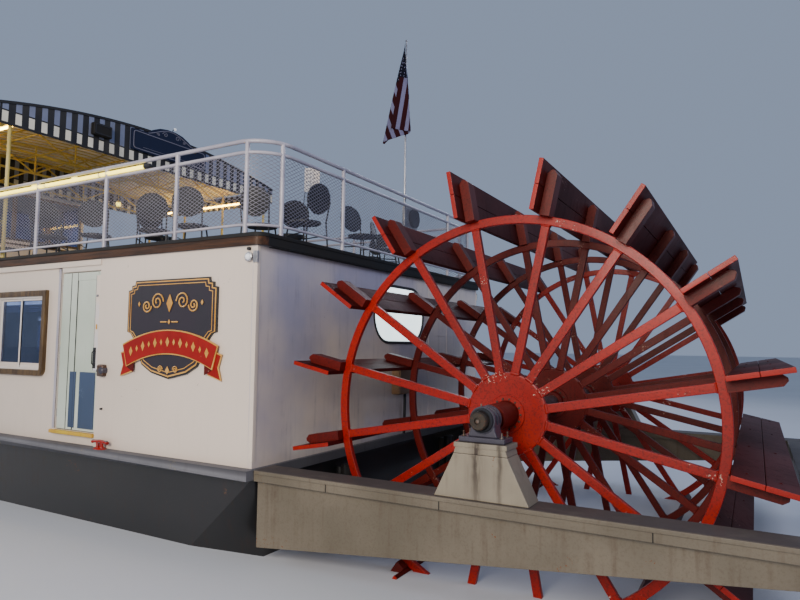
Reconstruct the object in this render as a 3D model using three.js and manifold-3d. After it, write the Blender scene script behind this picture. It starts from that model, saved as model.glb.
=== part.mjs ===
// A sternwheel paddle boat, about 20 m long, at full size in millimetres.
// X points to the bow, Y to port and Z up. The origin is under the middle of the flat bottom.
import * as THREE from 'three';
import { mergeVertices } from 'three/addons/utils/BufferGeometryUtils.js';
import Module from 'manifold-3d';

const wasm = await Module();
wasm.setup();

// Gap between pieces that rest on each other
const FIT = 0.3;

// Hull and main deck
const STERN_X = -10200;
const BOW_X = 10200;
const TRANSOM_X = -5285;
const SHOULDER_X = 4600;
const HULL_TIP_X = 10060;
const HULL_HALF = 2850;
const CHINE_INSET = 110;
const CHINE_FLAT = 260;
const CHINE_RISE = 170;
const GUARD = 135;
const DECK_AFT_X = -5330;
const DECK_TURN_X = 9850;
const BOW_NOSE = 330;
const DECK_Z = 1800;
const DECK_THICK = 100;
const CLEAT_XS = [-3010, 1200, 5700, 8600];
const CLEAT_INSET = 60;
const CLEAT = { foot: 70, neck: 32, horn: 130, half: 14, high: 98 };
const BOW_FULLNESS = 2.5;
const BOW_POWER = 0.62;
const HULL_STATIONS = [
  // x, height of the bottom, width at the chine as a share of the deck width
  [TRANSOM_X, 420, 0.94],
  [-3600, 0, 1],
  [5200, 0, 1],
  [6600, 40, 0.97],
  [7800, 180, 0.92],
  [8800, 460, 0.82],
  [9500, 860, 0.66],
  [HULL_TIP_X, 1350, 0.3],
];

// Paddle wheel
const WHEEL_X = -7700;
const WHEEL_Z = 2438;
const ARMS = 16;
const ARM_PHASE = 12.2;
const ARM_WIDE = 76;
const ARM_DEEP = 50;
const ARM_ROOT = 150;
const ARM_END = 1730;
const PAD = { start: 1785, end: 2190, half: 46, corner: 28, deep: 60, inboard: 25, outboard: 120 };
const RIM_OUTER = 1797;
const RIM_INNER = 1717;
const RIM_WIDE = 50;
const RIM_STEPS = 48;
const FRAMES = [
  // name, distance from the middle, side that its pads and sleeve reach to
  ['wheel_frame_port', 2212, 1],
  ['wheel_frame_port_inner', 737, 0],
  ['wheel_frame_starboard_inner', -737, 0],
  ['wheel_frame_starboard', -2212, -1],
];
const HUB_RADIUS = 371;
const HUB_THICK = 30;
const BOSS_RADIUS = 170;
const BOSS_LONG = 130;
const SLEEVE_RADIUS = 115;
const SLEEVE_LONG = 360;
const SHAFT_RADIUS = 75;
const SHAFT_HALF = 2905;
const BOARD_INNER = 1800;
const BOARD_OUTER = 2245;
const BOARD_THICK = 40;
const BOARD_HALF = 2500;

// Fantail that carries the wheel
const BEAM_INNER = 2580;
const BEAM_OUTER = 2880;
const BEAM_CAP = 110;
const GIRDER_INNER = 2640;
const GIRDER_OUTER = 2820;
const GIRDER_ROOT = 760;
const GIRDER_TIP = 260;
const GIRDER_SHORT = 60;
const END_BEAM_DEEP = 200;
const PEDESTAL = { half: 410, topHalf: 210, capHalf: 230, capThick: 40, high: 456, inner: 2600, outer: 2860 };
const BEARING = { radius: 112, near: 2640, far: 2830, baseHalf: 200, baseThick: 45 };
const BEARING_PLAY = 3;

// Rudders
const RUDDER_X = -5440;
const RUDDER_Y = 1400;
const STOCK_RADIUS = 35;
const TRUNK_RADIUS = 75;
const TRUNK_LOW = 1080;
const TRUNK_TOP = 1640;
const BLADE_LOW = 120;
const BLADE_TOP = 1020;
const BLADE_FORE = 45;
const BLADE_AFT = 430;
const BLADE_THICK = 40;

// Main cabin
const CABIN_HALF = 2862;
const CABIN_AFT_X = -5285;
const CABIN_FRONT_X = 5260;
const WALL = 60;
const WALL_STEP = 20;
const WALL_STEP_X = -2806;
const CEILING_Z = 4037;
const SIDE_DOOR = { x: -2790, wide: 770, low: 1950, high: 3900 };
const BOW_DOOR = { half: 430, low: 1950, high: 3900 };
const SIDE_WINDOW = { first: -1650, wide: 1020, low: 2750, high: 3650, pitch: 1600, count: 4, round: 70 };
const FRONT_WINDOW = { y: 1640, wide: 1000, low: 2750, high: 3650, round: 70 };
const AFT_WINDOW = { y: -80, wide: 1340, high: 740, z: 3466, round: 350 };
const DOOR_THICK = 45;
const DOOR_PLAY = 7;

// Upper deck
const UPPER_Z = 4162;
const UPPER_HALF = 2880;
const UPPER_AFT_X = -5335;
const UPPER_FRONT_X = 6200;
const UPPER_ROUND = 430;
const DECK_POST = 80;
const DECK_POST_X = 6080;
const DECK_POST_Y = 2640;

// Railings
const RAIL_Y = 2765;
const RAIL_AFT_X = -5287;
const RAIL_FRONT_X = 6120;
const RAIL_CORNER = 400;
const RAIL_HIGH = 1028;
const RAIL_SECOND = 905;
const RAIL_LOW = 125;
const RAIL_BAR = 42;
const RAIL_SHEET = 6;
const RAIL_SPLIT_X = -4700;
const PORT_POSTS = [-3950, -2690, -1240, -100, 1150, 2400, 3650, 4900];
const STERN_POSTS = [2490, 1374, -130, -1635, -2490];
const CORNER_POST_INSET = 20;
const FRONT_RAIL_END = -1090;
const BOW_RAIL_INSET = 130;
const BOW_RAIL_HIGH = 1000;
const BOW_RAIL_START = 6250;

// Canopy over the upper deck
const CANOPY_AFT_X = -400;
const CANOPY_FRONT_X = 3450;
const CANOPY_HALF = 2900;
const EAVE_Z = 6420;
const CROWN_Z = 6770;
const ROOF_THICK = 30;
const ARCH_FIT = 4;
const RAFTER_FIT = 4;
const VALANCE_Z = 6130;
const VALANCE_THICK = 12;
const BENT_XS = [-330, 900, 2130, 3360];
const BENT_BAR = 55;
const BENT_POST_Y = 2700;
const BENT_CHORD_Z = VALANCE_Z + 60;
const BRACE_BAR = 36;
const NAME_BOARD = {
  y: -80,
  low: 6350,
  thick: 30,
  // half outline from the foot to the crest: distance from the middle, height over the foot
  outline: [[834, 0], [834, 360], [510, 375], [400, 455], [250, 522], [90, 550]],
};

// Pilothouse
const PILOT_AFT_X = 3720;
const PILOT_FRONT_X = 5560;
const PILOT_HALF = 1180;
const PILOT_WALL = 45;
const PILOT_TOP_Z = 6420;
const PILOT_DOOR = { x: 3860, wide: 700, low: 4230, high: 6120 };
const PILOT_GLASS = {
  bottom: 5150,
  head: 6080,
  // from and to along X in the side walls
  port: [[4660, 5460]],
  starboard: [[3830, 4550], [4640, 5460]],
  // starboard edge of each window in the end walls
  ends: [-1080, -340, 400],
  endWide: 680,
};
const PILOT_EAVE = 220;
const PILOT_CROWN = 130;

// Fittings
const STACK = { x: 5880, y: 1700, radius: 160, top: 8350, crown: 260 };
const STAFF = { x: -5235, y: -270, radius: 18, top: 7580 };
const FLAG = {
  drop: 30,
  half: 60,
  turn: 29.5,
  // outline of the furled cloth: distance from the staff, height over the top of the hoist
  outline: [[32, 0], [110, 0], [180, -500], [430, -1480], [300, -1560], [60, -1330], [32, -700]],
};
const ENGINE = { x: -4300, long: 1600, wide: 900, high: 1000 };
const STAIR = {
  top: 6240,
  foot: 7960,
  low: -1900,
  high: -1150,
  treads: 10,
  // places along the flight, and heights over it
  posts: [0.08, 0.5, 0.97],
  rails: [950, 500],
};
const SIGN = {
  x: -4060,
  thick: 25,
  // half outline from the point at the foot to the top edge: distance from the middle, height
  outline: [[0, 2640], [280, 2700], [440, 2785], [600, 3080], [655, 3140], [710, 3155], [710, 3630],
    [655, 3640], [655, 3685], [600, 3692], [590, 3740]],
  ribbon: { half: 800, top: 3176, drop: 205, deep: 320, notch: 60, steps: 10, thick: 45 },
};

// Colours
const WHITE = '#e9e6dc';
const VERMILION = '#c8321c';
const BLACK = '#191a1c';
const TUBE = '#d9d6e0';

// Solid of a closed geometry
function solid(geometry) {
  const bare = geometry.clone();
  bare.deleteAttribute('normal');
  bare.deleteAttribute('uv');
  const merged = mergeVertices(bare, 0.001);
  const vertProperties = Float32Array.from(merged.attributes.position.array);
  const triVerts = Uint32Array.from(merged.index.array);
  return new wasm.Manifold(new wasm.Mesh({ numProp: 3, vertProperties, triVerts }));
}

// Geometry of a solid
function skin(body) {
  const mesh = body.getMesh();
  const geometry = new THREE.BufferGeometry();
  geometry.setAttribute('position', new THREE.BufferAttribute(Float32Array.from(mesh.vertProperties), 3));
  geometry.setIndex(new THREE.BufferAttribute(Uint32Array.from(mesh.triVerts), 1));
  geometry.computeVertexNormals();
  return geometry;
}

function join(geometries) {
  return skin(geometries.map(solid).reduce((body, next) => body.add(next)));
}

function cut(geometry, cutters) {
  return skin(cutters.map(solid).reduce((body, next) => body.subtract(next), solid(geometry)));
}

// Box from its low and high corners
function box(x0, x1, y0, y1, z0, z1) {
  const geometry = new THREE.BoxGeometry(x1 - x0, y1 - y0, z1 - z0);
  return geometry.translate((x0 + x1) / 2, (y0 + y1) / 2, (z0 + z1) / 2);
}

// Square bar between two points, its ends let past them by half its width
function bar(from, to, width) {
  const start = new THREE.Vector3(...from);
  const along = new THREE.Vector3(...to).sub(start);
  const long = along.length();
  const geometry = new THREE.BoxGeometry(long + width, width, width);
  const turn = new THREE.Matrix4();
  const yaw = Math.atan2(along.y, along.x);
  const rise = Math.asin(along.z / long);
  turn.makeRotationFromEuler(new THREE.Euler(0, -rise, yaw, 'ZYX'));
  return geometry.applyMatrix4(turn).translate(...start.addScaledVector(along, 0.5).toArray());
}

// Cylinder along an axis, from low to high on that axis
function rod(axis, low, high, radius, sides, u, v) {
  const geometry = new THREE.CylinderGeometry(radius, radius, high - low, sides);
  const middle = (low + high) / 2;
  if (axis === 'x') return geometry.rotateZ(Math.PI / 2).translate(middle, u, v);
  if (axis === 'y') return geometry.translate(u, middle, v);
  return geometry.rotateX(Math.PI / 2).translate(u, v, middle);
}

// Outline pushed up by a depth
function extrude(shape, depth, curveSegments) {
  return new THREE.ExtrudeGeometry(shape, { depth, bevelEnabled: false, curveSegments });
}

// Outline in X and Z, extruded along Y from y0 to y1
function sidePlate(shape, y0, y1, steps = 3) {
  return extrude(shape, y1 - y0, steps).rotateX(Math.PI / 2).translate(0, y1, 0);
}

// Outline in Y and Z, extruded along X from x0 to x1
function crossPlate(shape, x0, x1, steps = 3) {
  return extrude(shape, x1 - x0, steps).rotateX(Math.PI / 2).rotateZ(Math.PI / 2).translate(x0, 0, 0);
}

// Outline in X and Y, extruded up from z0 to z1
function flatPlate(shape, z0, z1, steps = 4) {
  return extrude(shape, z1 - z0, steps).translate(0, 0, z0);
}

// Rectangle with round corners as a shape or a hole
function roundedRect(x0, y0, x1, y1, r, path = new THREE.Shape()) {
  path.moveTo(x0 + r, y0);
  path.lineTo(x1 - r, y0);
  path.absarc(x1 - r, y0 + r, r, -Math.PI / 2, 0, false);
  path.lineTo(x1, y1 - r);
  path.absarc(x1 - r, y1 - r, r, 0, Math.PI / 2, false);
  path.lineTo(x0 + r, y1);
  path.absarc(x0 + r, y1 - r, r, Math.PI / 2, Math.PI, false);
  path.lineTo(x0, y0 + r);
  path.absarc(x0 + r, y0 + r, r, Math.PI, 1.5 * Math.PI, false);
  return path;
}

function polygon(points) {
  return new THREE.Shape(points.map(([a, b]) => new THREE.Vector2(a, b)));
}

// Closed body through sections of equal point count, each a ring of [x, y, z]
function loft(rings) {
  const count = rings[0].length;
  const index = [];
  for (let s = 0; s + 1 < rings.length; s += 1) {
    for (let k = 0; k < count; k += 1) {
      const a = s * count + k;
      const b = s * count + ((k + 1) % count);
      index.push(a, b, a + count, b, b + count, a + count);
    }
  }
  const last = (rings.length - 1) * count;
  for (let k = 1; k + 1 < count; k += 1) {
    index.push(0, k + 1, k, last, last + k, last + k + 1);
  }
  const geometry = new THREE.BufferGeometry();
  geometry.setAttribute('position', new THREE.Float32BufferAttribute(rings.flat(2), 3));
  geometry.setIndex(index);
  return skin(solid(geometry));
}

// Half width of the hull at the deck, full to the shoulder and then round to the bow
function hullHalf(x) {
  const along = Math.max(0, (x - SHOULDER_X) / (HULL_TIP_X + 40 - SHOULDER_X));
  return HULL_HALF * (1 - along ** BOW_FULLNESS) ** BOW_POWER;
}

const boat = new THREE.Group();
const materials = new Map();

function finish(colour, roughness, metalness) {
  const key = `${colour} ${roughness} ${metalness}`;
  if (!materials.has(key)) {
    materials.set(key, { color: colour, roughness, metalness });
  }
  return new THREE.MeshStandardMaterial(materials.get(key));
}

function add(name, geometry, colour, roughness = 0.5, metalness = 0.1, parent = boat) {
  const mesh = new THREE.Mesh(geometry, finish(colour, roughness, metalness));
  mesh.name = name;
  parent.add(mesh);
  return mesh;
}

// Hull with the two rudder trunks welded to its transom
function hull() {
  const top = DECK_Z - DECK_THICK;
  const rings = HULL_STATIONS.map(([x, bottom, share]) => {
    const deck = hullHalf(x);
    const chine = (deck - Math.min(CHINE_INSET, deck / 4)) * share;
    const flat = Math.max(chine - CHINE_FLAT, chine / 3);
    return [[x, -deck, top], [x, -chine, bottom + CHINE_RISE], [x, -flat, bottom],
      [x, flat, bottom], [x, chine, bottom + CHINE_RISE], [x, deck, top]];
  });
  const pieces = [loft(rings)];
  for (const y of [RUDDER_Y, -RUDDER_Y]) {
    pieces.push(rod('z', TRUNK_LOW, TRUNK_TOP, TRUNK_RADIUS, 16, RUDDER_X, y));
    pieces.push(box(RUDDER_X, TRANSOM_X + 10, y - 30, y + 30, TRUNK_LOW + 40, TRUNK_TOP - 40));
  }
  const bores = [RUDDER_Y, -RUDDER_Y].map(
    (y) => rod('z', TRUNK_LOW - 10, TRUNK_TOP - 60, STOCK_RADIUS + BEARING_PLAY, 16, RUDDER_X, y));
  add('hull', cut(join(pieces), bores), BLACK, 0.45, 0.2);
}

function mainDeck() {
  const edge = [[DECK_AFT_X, HULL_HALF + GUARD], [SHOULDER_X, HULL_HALF + GUARD]];
  for (const [x] of HULL_STATIONS.slice(2, -1)) edge.push([x, hullHalf(x) + GUARD]);
  edge.push([DECK_TURN_X, hullHalf(DECK_TURN_X) + GUARD], [BOW_X, BOW_NOSE]);
  const mirrored = edge.map(([x, y]) => [x, -y]);
  const plate = flatPlate(polygon([...edge.reverse(), ...mirrored]), DECK_Z - DECK_THICK + FIT, DECK_Z);
  const cleats = CLEAT_XS.flatMap((x) => {
    const y = hullHalf(x) + GUARD - CLEAT_INSET;
    return [...cleat(x, y), ...cleat(x, -y)];
  });
  add('main_deck', join([plate, ...cleats]), '#3a3b3c', 0.7, 0.1);
}

// Mooring cleat on the deck's edge: foot, two necks and the horn
function cleat(x, y) {
  const { foot, neck, horn, half, high } = CLEAT;
  return [box(x - foot, x + foot, y - 2 * half, y + 2 * half, DECK_Z - 5, DECK_Z + 15),
    box(x - neck - half, x - neck + half, y - half, y + half, DECK_Z + 10, DECK_Z + high - 10),
    box(x + neck - half, x + neck + half, y - half, y + half, DECK_Z + 10, DECK_Z + high - 10),
    box(x - horn, x + horn, y - half, y + half, DECK_Z + high - 28, DECK_Z + high)];
}

// Fantail beams with their girders, the end beam, pedestals and shaft bearings
function fantail() {
  const root = DECK_AFT_X - FIT;
  const tip = STERN_X + GIRDER_SHORT;
  for (const [side, name] of [[1, 'port'], [-1, 'starboard']]) {
    const span = (a, b) => (side > 0 ? [a, b] : [-b, -a]);
    const cap = box(STERN_X, root, ...span(BEAM_INNER, BEAM_OUTER), DECK_Z - BEAM_CAP, DECK_Z);
    const profile = polygon([[tip, DECK_Z - GIRDER_TIP], [root, DECK_Z - GIRDER_ROOT], [root, DECK_Z - 20],
      [tip, DECK_Z - 20]]);
    const girder = sidePlate(profile, ...span(GIRDER_INNER, GIRDER_OUTER));
    add(`fantail_beam_${name}`, join([cap, girder]), WHITE, 0.6, 0.1);

    const { half, topHalf, capHalf, capThick, high, inner, outer } = PEDESTAL;
    const taper = polygon([[-half, 0], [half, 0], [topHalf, high - capThick], [capHalf, high - capThick],
      [capHalf, high], [-capHalf, high], [-capHalf, high - capThick], [-topHalf, high - capThick]]);
    const pedestal = add(`wheel_pedestal_${name}`, sidePlate(taper, ...span(inner, outer)), WHITE, 0.6, 0.1);
    pedestal.position.set(WHEEL_X, 0, DECK_Z + FIT);

    const foot = DECK_Z + high + 2 * FIT - WHEEL_Z;
    const { radius, near, far, baseHalf, baseThick } = BEARING;
    const block = join([box(-baseHalf, baseHalf, ...span(near - 20, far + 20), foot, foot + baseThick),
      box(-radius, radius, ...span(near, far), foot, 0), rod('y', ...span(near, far), radius, 24, 0, 0)]);
    const bore = rod('y', ...span(near - 40, far + 40), SHAFT_RADIUS + BEARING_PLAY, 24, 0, 0);
    const bearing = add(`shaft_bearing_${name}`, cut(block, [bore]), '#55585a', 0.5, 0.6);
    bearing.position.set(WHEEL_X, 0, WHEEL_Z);
  }
  add('fantail_end_beam', box(STERN_X, STERN_X + END_BEAM_DEEP, -BEAM_INNER + FIT, BEAM_INNER - FIT,
    DECK_Z - GIRDER_TIP, DECK_Z), BLACK, 0.6, 0.1);
}

// Steel frame of one rim, all welded: hub plate, boss, arms, hoop and the pads that the boards bolt to.
// The pads and the shaft's sleeve of an outer frame reach to its own side of the boat.
function wheelFrame(side) {
  const hoop = new THREE.LatheGeometry([[RIM_INNER, -RIM_WIDE / 2], [RIM_OUTER, -RIM_WIDE / 2],
    [RIM_OUTER, RIM_WIDE / 2], [RIM_INNER, RIM_WIDE / 2], [RIM_INNER, -RIM_WIDE / 2]]
    .map(([r, y]) => new THREE.Vector2(r, y)), RIM_STEPS);
  const pieces = [hoop, rod('y', -HUB_THICK / 2, HUB_THICK / 2, HUB_RADIUS, 32, 0, 0),
    rod('y', -BOSS_LONG / 2, BOSS_LONG / 2, BOSS_RADIUS, 16, 0, 0)];
  if (side) pieces.push(rod('y', ...[0, side * SLEEVE_LONG].sort((a, b) => a - b), SLEEVE_RADIUS, 16, 0, 0));
  const outline = polygon([[PAD.start, -PAD.half], [PAD.end - PAD.corner, -PAD.half],
    [PAD.end, -PAD.half + PAD.corner], [PAD.end, PAD.half - PAD.corner],
    [PAD.end - PAD.corner, PAD.half], [PAD.start, PAD.half]]);
  const reach = [[-PAD.outboard, PAD.inboard], [-PAD.deep, PAD.deep], [-PAD.inboard, PAD.outboard]][side + 1];
  for (let k = 0; k < ARMS; k += 1) {
    const arm = box(ARM_ROOT, ARM_END, -ARM_DEEP / 2, ARM_DEEP / 2, -ARM_WIDE / 2, ARM_WIDE / 2);
    const turn = -THREE.MathUtils.degToRad((360 / ARMS) * k);
    pieces.push(arm.rotateY(turn), sidePlate(outline, ...reach).rotateY(turn));
  }
  const bore = rod('y', -SLEEVE_LONG - 40, SLEEVE_LONG + 40, SHAFT_RADIUS + FIT, 16, 0, 0);
  return cut(join(pieces), [bore]);
}

function paddleWheel() {
  const wheel = new THREE.Group();
  wheel.position.set(WHEEL_X, 0, WHEEL_Z);
  wheel.rotation.y = -THREE.MathUtils.degToRad(ARM_PHASE);
  boat.add(wheel);
  add('paddle_shaft', rod('y', -SHAFT_HALF, SHAFT_HALF, SHAFT_RADIUS, 16, 0, 0), '#4a4c4e', 0.5, 0.7, wheel);
  for (const [name, y, side] of FRAMES) {
    add(name, wheelFrame(side), VERMILION, 0.35, 0.1, wheel).position.y = y;
  }
  const lower = -PAD.half - FIT - BOARD_THICK;
  for (let k = 0; k < ARMS; k += 1) {
    const board = add(`paddle_board_${String(k + 1).padStart(2, '0')}`,
      box(BOARD_INNER, BOARD_OUTER, -BOARD_HALF, BOARD_HALF, lower, lower + BOARD_THICK),
      VERMILION, 0.4, 0, wheel);
    board.rotation.y = -THREE.MathUtils.degToRad((360 / ARMS) * k);
  }
}

function rudders() {
  for (const [side, name] of [[1, 'port'], [-1, 'starboard']]) {
    const stock = new THREE.Group();
    stock.position.set(RUDDER_X, side * RUDDER_Y, 0);
    boat.add(stock);
    const blade = polygon([[BLADE_FORE, BLADE_LOW], [BLADE_FORE, BLADE_TOP], [-BLADE_AFT, BLADE_TOP],
      [-BLADE_AFT + 60, BLADE_LOW]]);
    add(`rudder_${name}`, join([sidePlate(blade, -BLADE_THICK / 2, BLADE_THICK / 2),
      rod('z', BLADE_LOW + 40, TRUNK_TOP - 80, STOCK_RADIUS, 16, 0, 0)]), BLACK, 0.5, 0.2, stock);
  }
}

// Side wall in X and Z: the stretch aft of the door stands a little proud
function sideWall() {
  const fore = roundedRect(WALL_STEP_X, DECK_Z + FIT, CABIN_FRONT_X - WALL - FIT, CEILING_Z, 1);
  const { x, wide, low, high } = SIDE_DOOR;
  fore.holes.push(roundedRect(x, low, x + wide, high, 20, new THREE.Path()));
  for (let k = 0; k < SIDE_WINDOW.count; k += 1) {
    const start = SIDE_WINDOW.first + k * SIDE_WINDOW.pitch;
    fore.holes.push(roundedRect(start, SIDE_WINDOW.low, start + SIDE_WINDOW.wide, SIDE_WINDOW.high,
      SIDE_WINDOW.round, new THREE.Path()));
  }
  const outer = CABIN_HALF - WALL_STEP;
  const aft = box(CABIN_AFT_X + WALL + FIT, WALL_STEP_X + 10, CABIN_HALF - WALL, CABIN_HALF,
    DECK_Z + FIT, CEILING_Z);
  return join([sidePlate(fore, outer - WALL, outer), aft]);
}

function mirrorY(geometry) {
  const copy = geometry.clone().scale(1, -1, 1);
  const order = copy.index.array;
  for (let k = 0; k < order.length; k += 3) [order[k], order[k + 1]] = [order[k + 1], order[k]];
  copy.computeVertexNormals();
  return copy;
}

function endWalls() {
  const aft = roundedRect(-CABIN_HALF, DECK_Z + FIT, CABIN_HALF, CEILING_Z, 1);
  const { y: middle, wide, high, z, round } = AFT_WINDOW;
  aft.holes.push(roundedRect(middle - wide / 2, z - high / 2, middle + wide / 2, z + high / 2, round,
    new THREE.Path()));
  add('cabin_aft_wall', crossPlate(aft, CABIN_AFT_X, CABIN_AFT_X + WALL, 5), WHITE, 0.5, 0.1);
  const front = roundedRect(-CABIN_HALF, DECK_Z + FIT, CABIN_HALF, CEILING_Z, 1);
  const { half, low, high: head } = BOW_DOOR;
  front.holes.push(roundedRect(-half, low, half, head, 20, new THREE.Path()));
  for (const y of [FRONT_WINDOW.y, -FRONT_WINDOW.y]) {
    front.holes.push(roundedRect(y - FRONT_WINDOW.wide / 2, FRONT_WINDOW.low, y + FRONT_WINDOW.wide / 2,
      FRONT_WINDOW.high, FRONT_WINDOW.round, new THREE.Path()));
  }
  add('cabin_front_wall', crossPlate(front, CABIN_FRONT_X - WALL, CABIN_FRONT_X), WHITE, 0.5, 0.1);
}

// Door leaf that reaches along -X from its hinge line at the origin, its outer face at y = 0
function leaf(wide, low, high) {
  return box(-wide + 2 * DOOR_PLAY, 0, -DOOR_THICK, 0, low + DOOR_PLAY, high - DOOR_PLAY);
}

function cabin() {
  const wall = sideWall();
  add('cabin_port_wall', wall, WHITE, 0.5, 0.1);
  add('cabin_starboard_wall', mirrorY(wall), WHITE, 0.5, 0.1);
  endWalls();
  const hinge = SIDE_DOOR.x + SIDE_DOOR.wide - DOOR_PLAY;
  for (const [side, name] of [[1, 'port_door'], [-1, 'starboard_door']]) {
    const shape = leaf(SIDE_DOOR.wide, SIDE_DOOR.low, SIDE_DOOR.high);
    const door = add(name, side > 0 ? shape : mirrorY(shape), '#dfe6dc', 0.5, 0.1);
    door.position.set(hinge, side * (CABIN_HALF - WALL_STEP), 0);
  }
  const bowLeaf = mirrorY(leaf(2 * BOW_DOOR.half, BOW_DOOR.low, BOW_DOOR.high));
  const bow = add('bow_door', bowLeaf, '#dfe6dc', 0.5, 0.1);
  bow.rotation.z = Math.PI / 2;
  bow.position.set(CABIN_FRONT_X, BOW_DOOR.half - DOOR_PLAY, 0);
  add('engine', box(ENGINE.x, ENGINE.x + ENGINE.long, -ENGINE.wide / 2, ENGINE.wide / 2, DECK_Z + FIT,
    DECK_Z + ENGINE.high), '#4d5a52', 0.6, 0.4);
}

function upperDeck() {
  const slab = flatPlate(roundedRect(UPPER_AFT_X, -UPPER_HALF, UPPER_FRONT_X, UPPER_HALF, UPPER_ROUND / 4),
    CEILING_Z + FIT, UPPER_Z);
  const half = DECK_POST / 2;
  const posts = [DECK_POST_Y, -DECK_POST_Y].map((y) => box(DECK_POST_X - half, DECK_POST_X + half,
    y - half, y + half, DECK_Z + FIT, CEILING_Z + 20));
  add('upper_deck', join([slab, ...posts]), '#4a3a2c', 0.7, 0.1);
}

// Railing along plan points: three rails, a sheet between the lower two and posts where asked
function railing(points, posts, sheet = true) {
  const heights = [RAIL_HIGH, RAIL_SECOND, RAIL_LOW];
  const pieces = [];
  for (let k = 0; k + 1 < points.length; k += 1) {
    const [[x0, y0], [x1, y1]] = [points[k], points[k + 1]];
    for (const high of heights) {
      pieces.push(bar([x0, y0, UPPER_Z + high], [x1, y1, UPPER_Z + high], RAIL_BAR));
    }
    if (sheet) {
      const long = Math.hypot(x1 - x0, y1 - y0);
      const panel = new THREE.BoxGeometry(long + RAIL_SHEET, RAIL_SHEET, RAIL_SECOND - RAIL_LOW);
      panel.rotateZ(Math.atan2(y1 - y0, x1 - x0));
      pieces.push(panel.translate((x0 + x1) / 2, (y0 + y1) / 2, UPPER_Z + (RAIL_SECOND + RAIL_LOW) / 2));
    }
  }
  for (const [x, y] of posts) {
    pieces.push(box(x - RAIL_BAR / 2, x + RAIL_BAR / 2, y - RAIL_BAR / 2, y + RAIL_BAR / 2,
      UPPER_Z + FIT, UPPER_Z + RAIL_HIGH));
  }
  return join(pieces);
}

function railings() {
  const lap = RAIL_BAR + FIT;
  const portPosts = PORT_POSTS.map((x) => [x, RAIL_Y]);
  const port = railing([[RAIL_SPLIT_X + lap, RAIL_Y], [RAIL_FRONT_X - lap, RAIL_Y]],
    [[RAIL_SPLIT_X + lap, RAIL_Y], ...portPosts, [RAIL_FRONT_X - lap, RAIL_Y]]);
  add('upper_rail_port', port, TUBE, 0.4, 0.2);
  add('upper_rail_starboard', mirrorY(port), TUBE, 0.4, 0.2);

  const corner = [0, 30, 60, 90].map((a) => {
    const turn = THREE.MathUtils.degToRad(a);
    return [RAIL_AFT_X + RAIL_CORNER * (1 - Math.sin(turn)), RAIL_Y - RAIL_CORNER * (1 - Math.cos(turn))];
  });
  const portHalf = [[RAIL_SPLIT_X, RAIL_Y], ...corner];
  const starHalf = portHalf.map(([x, y]) => [x, -y]).reverse();
  const sternPosts = STERN_POSTS.map((y, k) => [RAIL_AFT_X + (k % 4 ? 0 : CORNER_POST_INSET), y]);
  const stern = railing([...portHalf, ...starHalf], [[RAIL_SPLIT_X, RAIL_Y], ...sternPosts,
    [RAIL_SPLIT_X, -RAIL_Y]]);
  add('upper_rail_stern', stern, TUBE, 0.4, 0.2);

  const front = railing([[RAIL_FRONT_X, RAIL_Y], [RAIL_FRONT_X, FRONT_RAIL_END]],
    [[RAIL_FRONT_X, RAIL_Y], [RAIL_FRONT_X, 1400], [RAIL_FRONT_X, 100], [RAIL_FRONT_X, FRONT_RAIL_END]]);
  add('upper_rail_front', front, TUBE, 0.4, 0.2);
}

// Rails round the bow: three bars on posts, inside the deck's edge
function bowRail() {
  const xs = [BOW_RAIL_START, 7200, 8200, 9050, 9700];
  const side = xs.map((x) => [x, hullHalf(x) + GUARD - BOW_RAIL_INSET]);
  const line = [...side, ...side.map(([x, y]) => [x, -y]).reverse()];
  const pieces = [];
  for (let k = 0; k + 1 < line.length; k += 1) {
    for (const high of [0.98, 0.5]) {
      const z = DECK_Z + BOW_RAIL_HIGH * high;
      pieces.push(bar([...line[k], z], [...line[k + 1], z], RAIL_BAR));
    }
  }
  for (const [x, y] of line) {
    pieces.push(box(x - RAIL_BAR / 2, x + RAIL_BAR / 2, y - RAIL_BAR / 2, y + RAIL_BAR / 2,
      DECK_Z + FIT, DECK_Z + BOW_RAIL_HIGH));
  }
  add('bow_rail', join(pieces), TUBE, 0.4, 0.2);
}

// Steep stair from the bow deck to the front of the upper deck
function bowStair() {
  const { top, foot, low, high, treads, posts, rails } = STAIR;
  const rise = UPPER_Z - DECK_Z;
  const at = (share, up) => [top + (foot - top) * (1 - share), up + DECK_Z + rise * share];
  const pieces = [];
  for (const y of [low, high]) {
    const outline = polygon([at(0, 6), at(0, 180), at(1, 0), at(1, -190)]);
    pieces.push(sidePlate(outline, y - 15, y + 15));
    for (const up of rails) {
      const [[x0, z0], [x1, z1]] = [at(posts[0], up), at(posts.at(-1), up)];
      pieces.push(bar([x0, y, z0], [x1, y, z1], RAIL_BAR));
    }
    for (const share of posts) {
      const [x, z] = at(share, 0);
      pieces.push(box(x - RAIL_BAR / 2, x + RAIL_BAR / 2, y - 14, y + 14, z - 60, z + rails[0]));
    }
  }
  for (let k = 1; k <= treads; k += 1) {
    const [x, z] = at(k / (treads + 1), 0);
    pieces.push(box(x - 120, x + 120, low, high, z - 30, z));
  }
  add('bow_stair', join(pieces), '#8d8f92', 0.6, 0.3);
}

// Points of the canopy's arch at a depth below its underside, from port to starboard
function arch(depth, half, steps) {
  const rise = CROWN_Z - EAVE_Z;
  const radius = (CANOPY_HALF ** 2 + rise ** 2) / (2 * rise);
  const points = [];
  for (let k = 0; k <= steps; k += 1) {
    const y = half * (1 - (2 * k) / steps);
    points.push([y, CROWN_Z - radius + Math.sqrt(radius ** 2 - y ** 2) - depth]);
  }
  return points;
}

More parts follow.
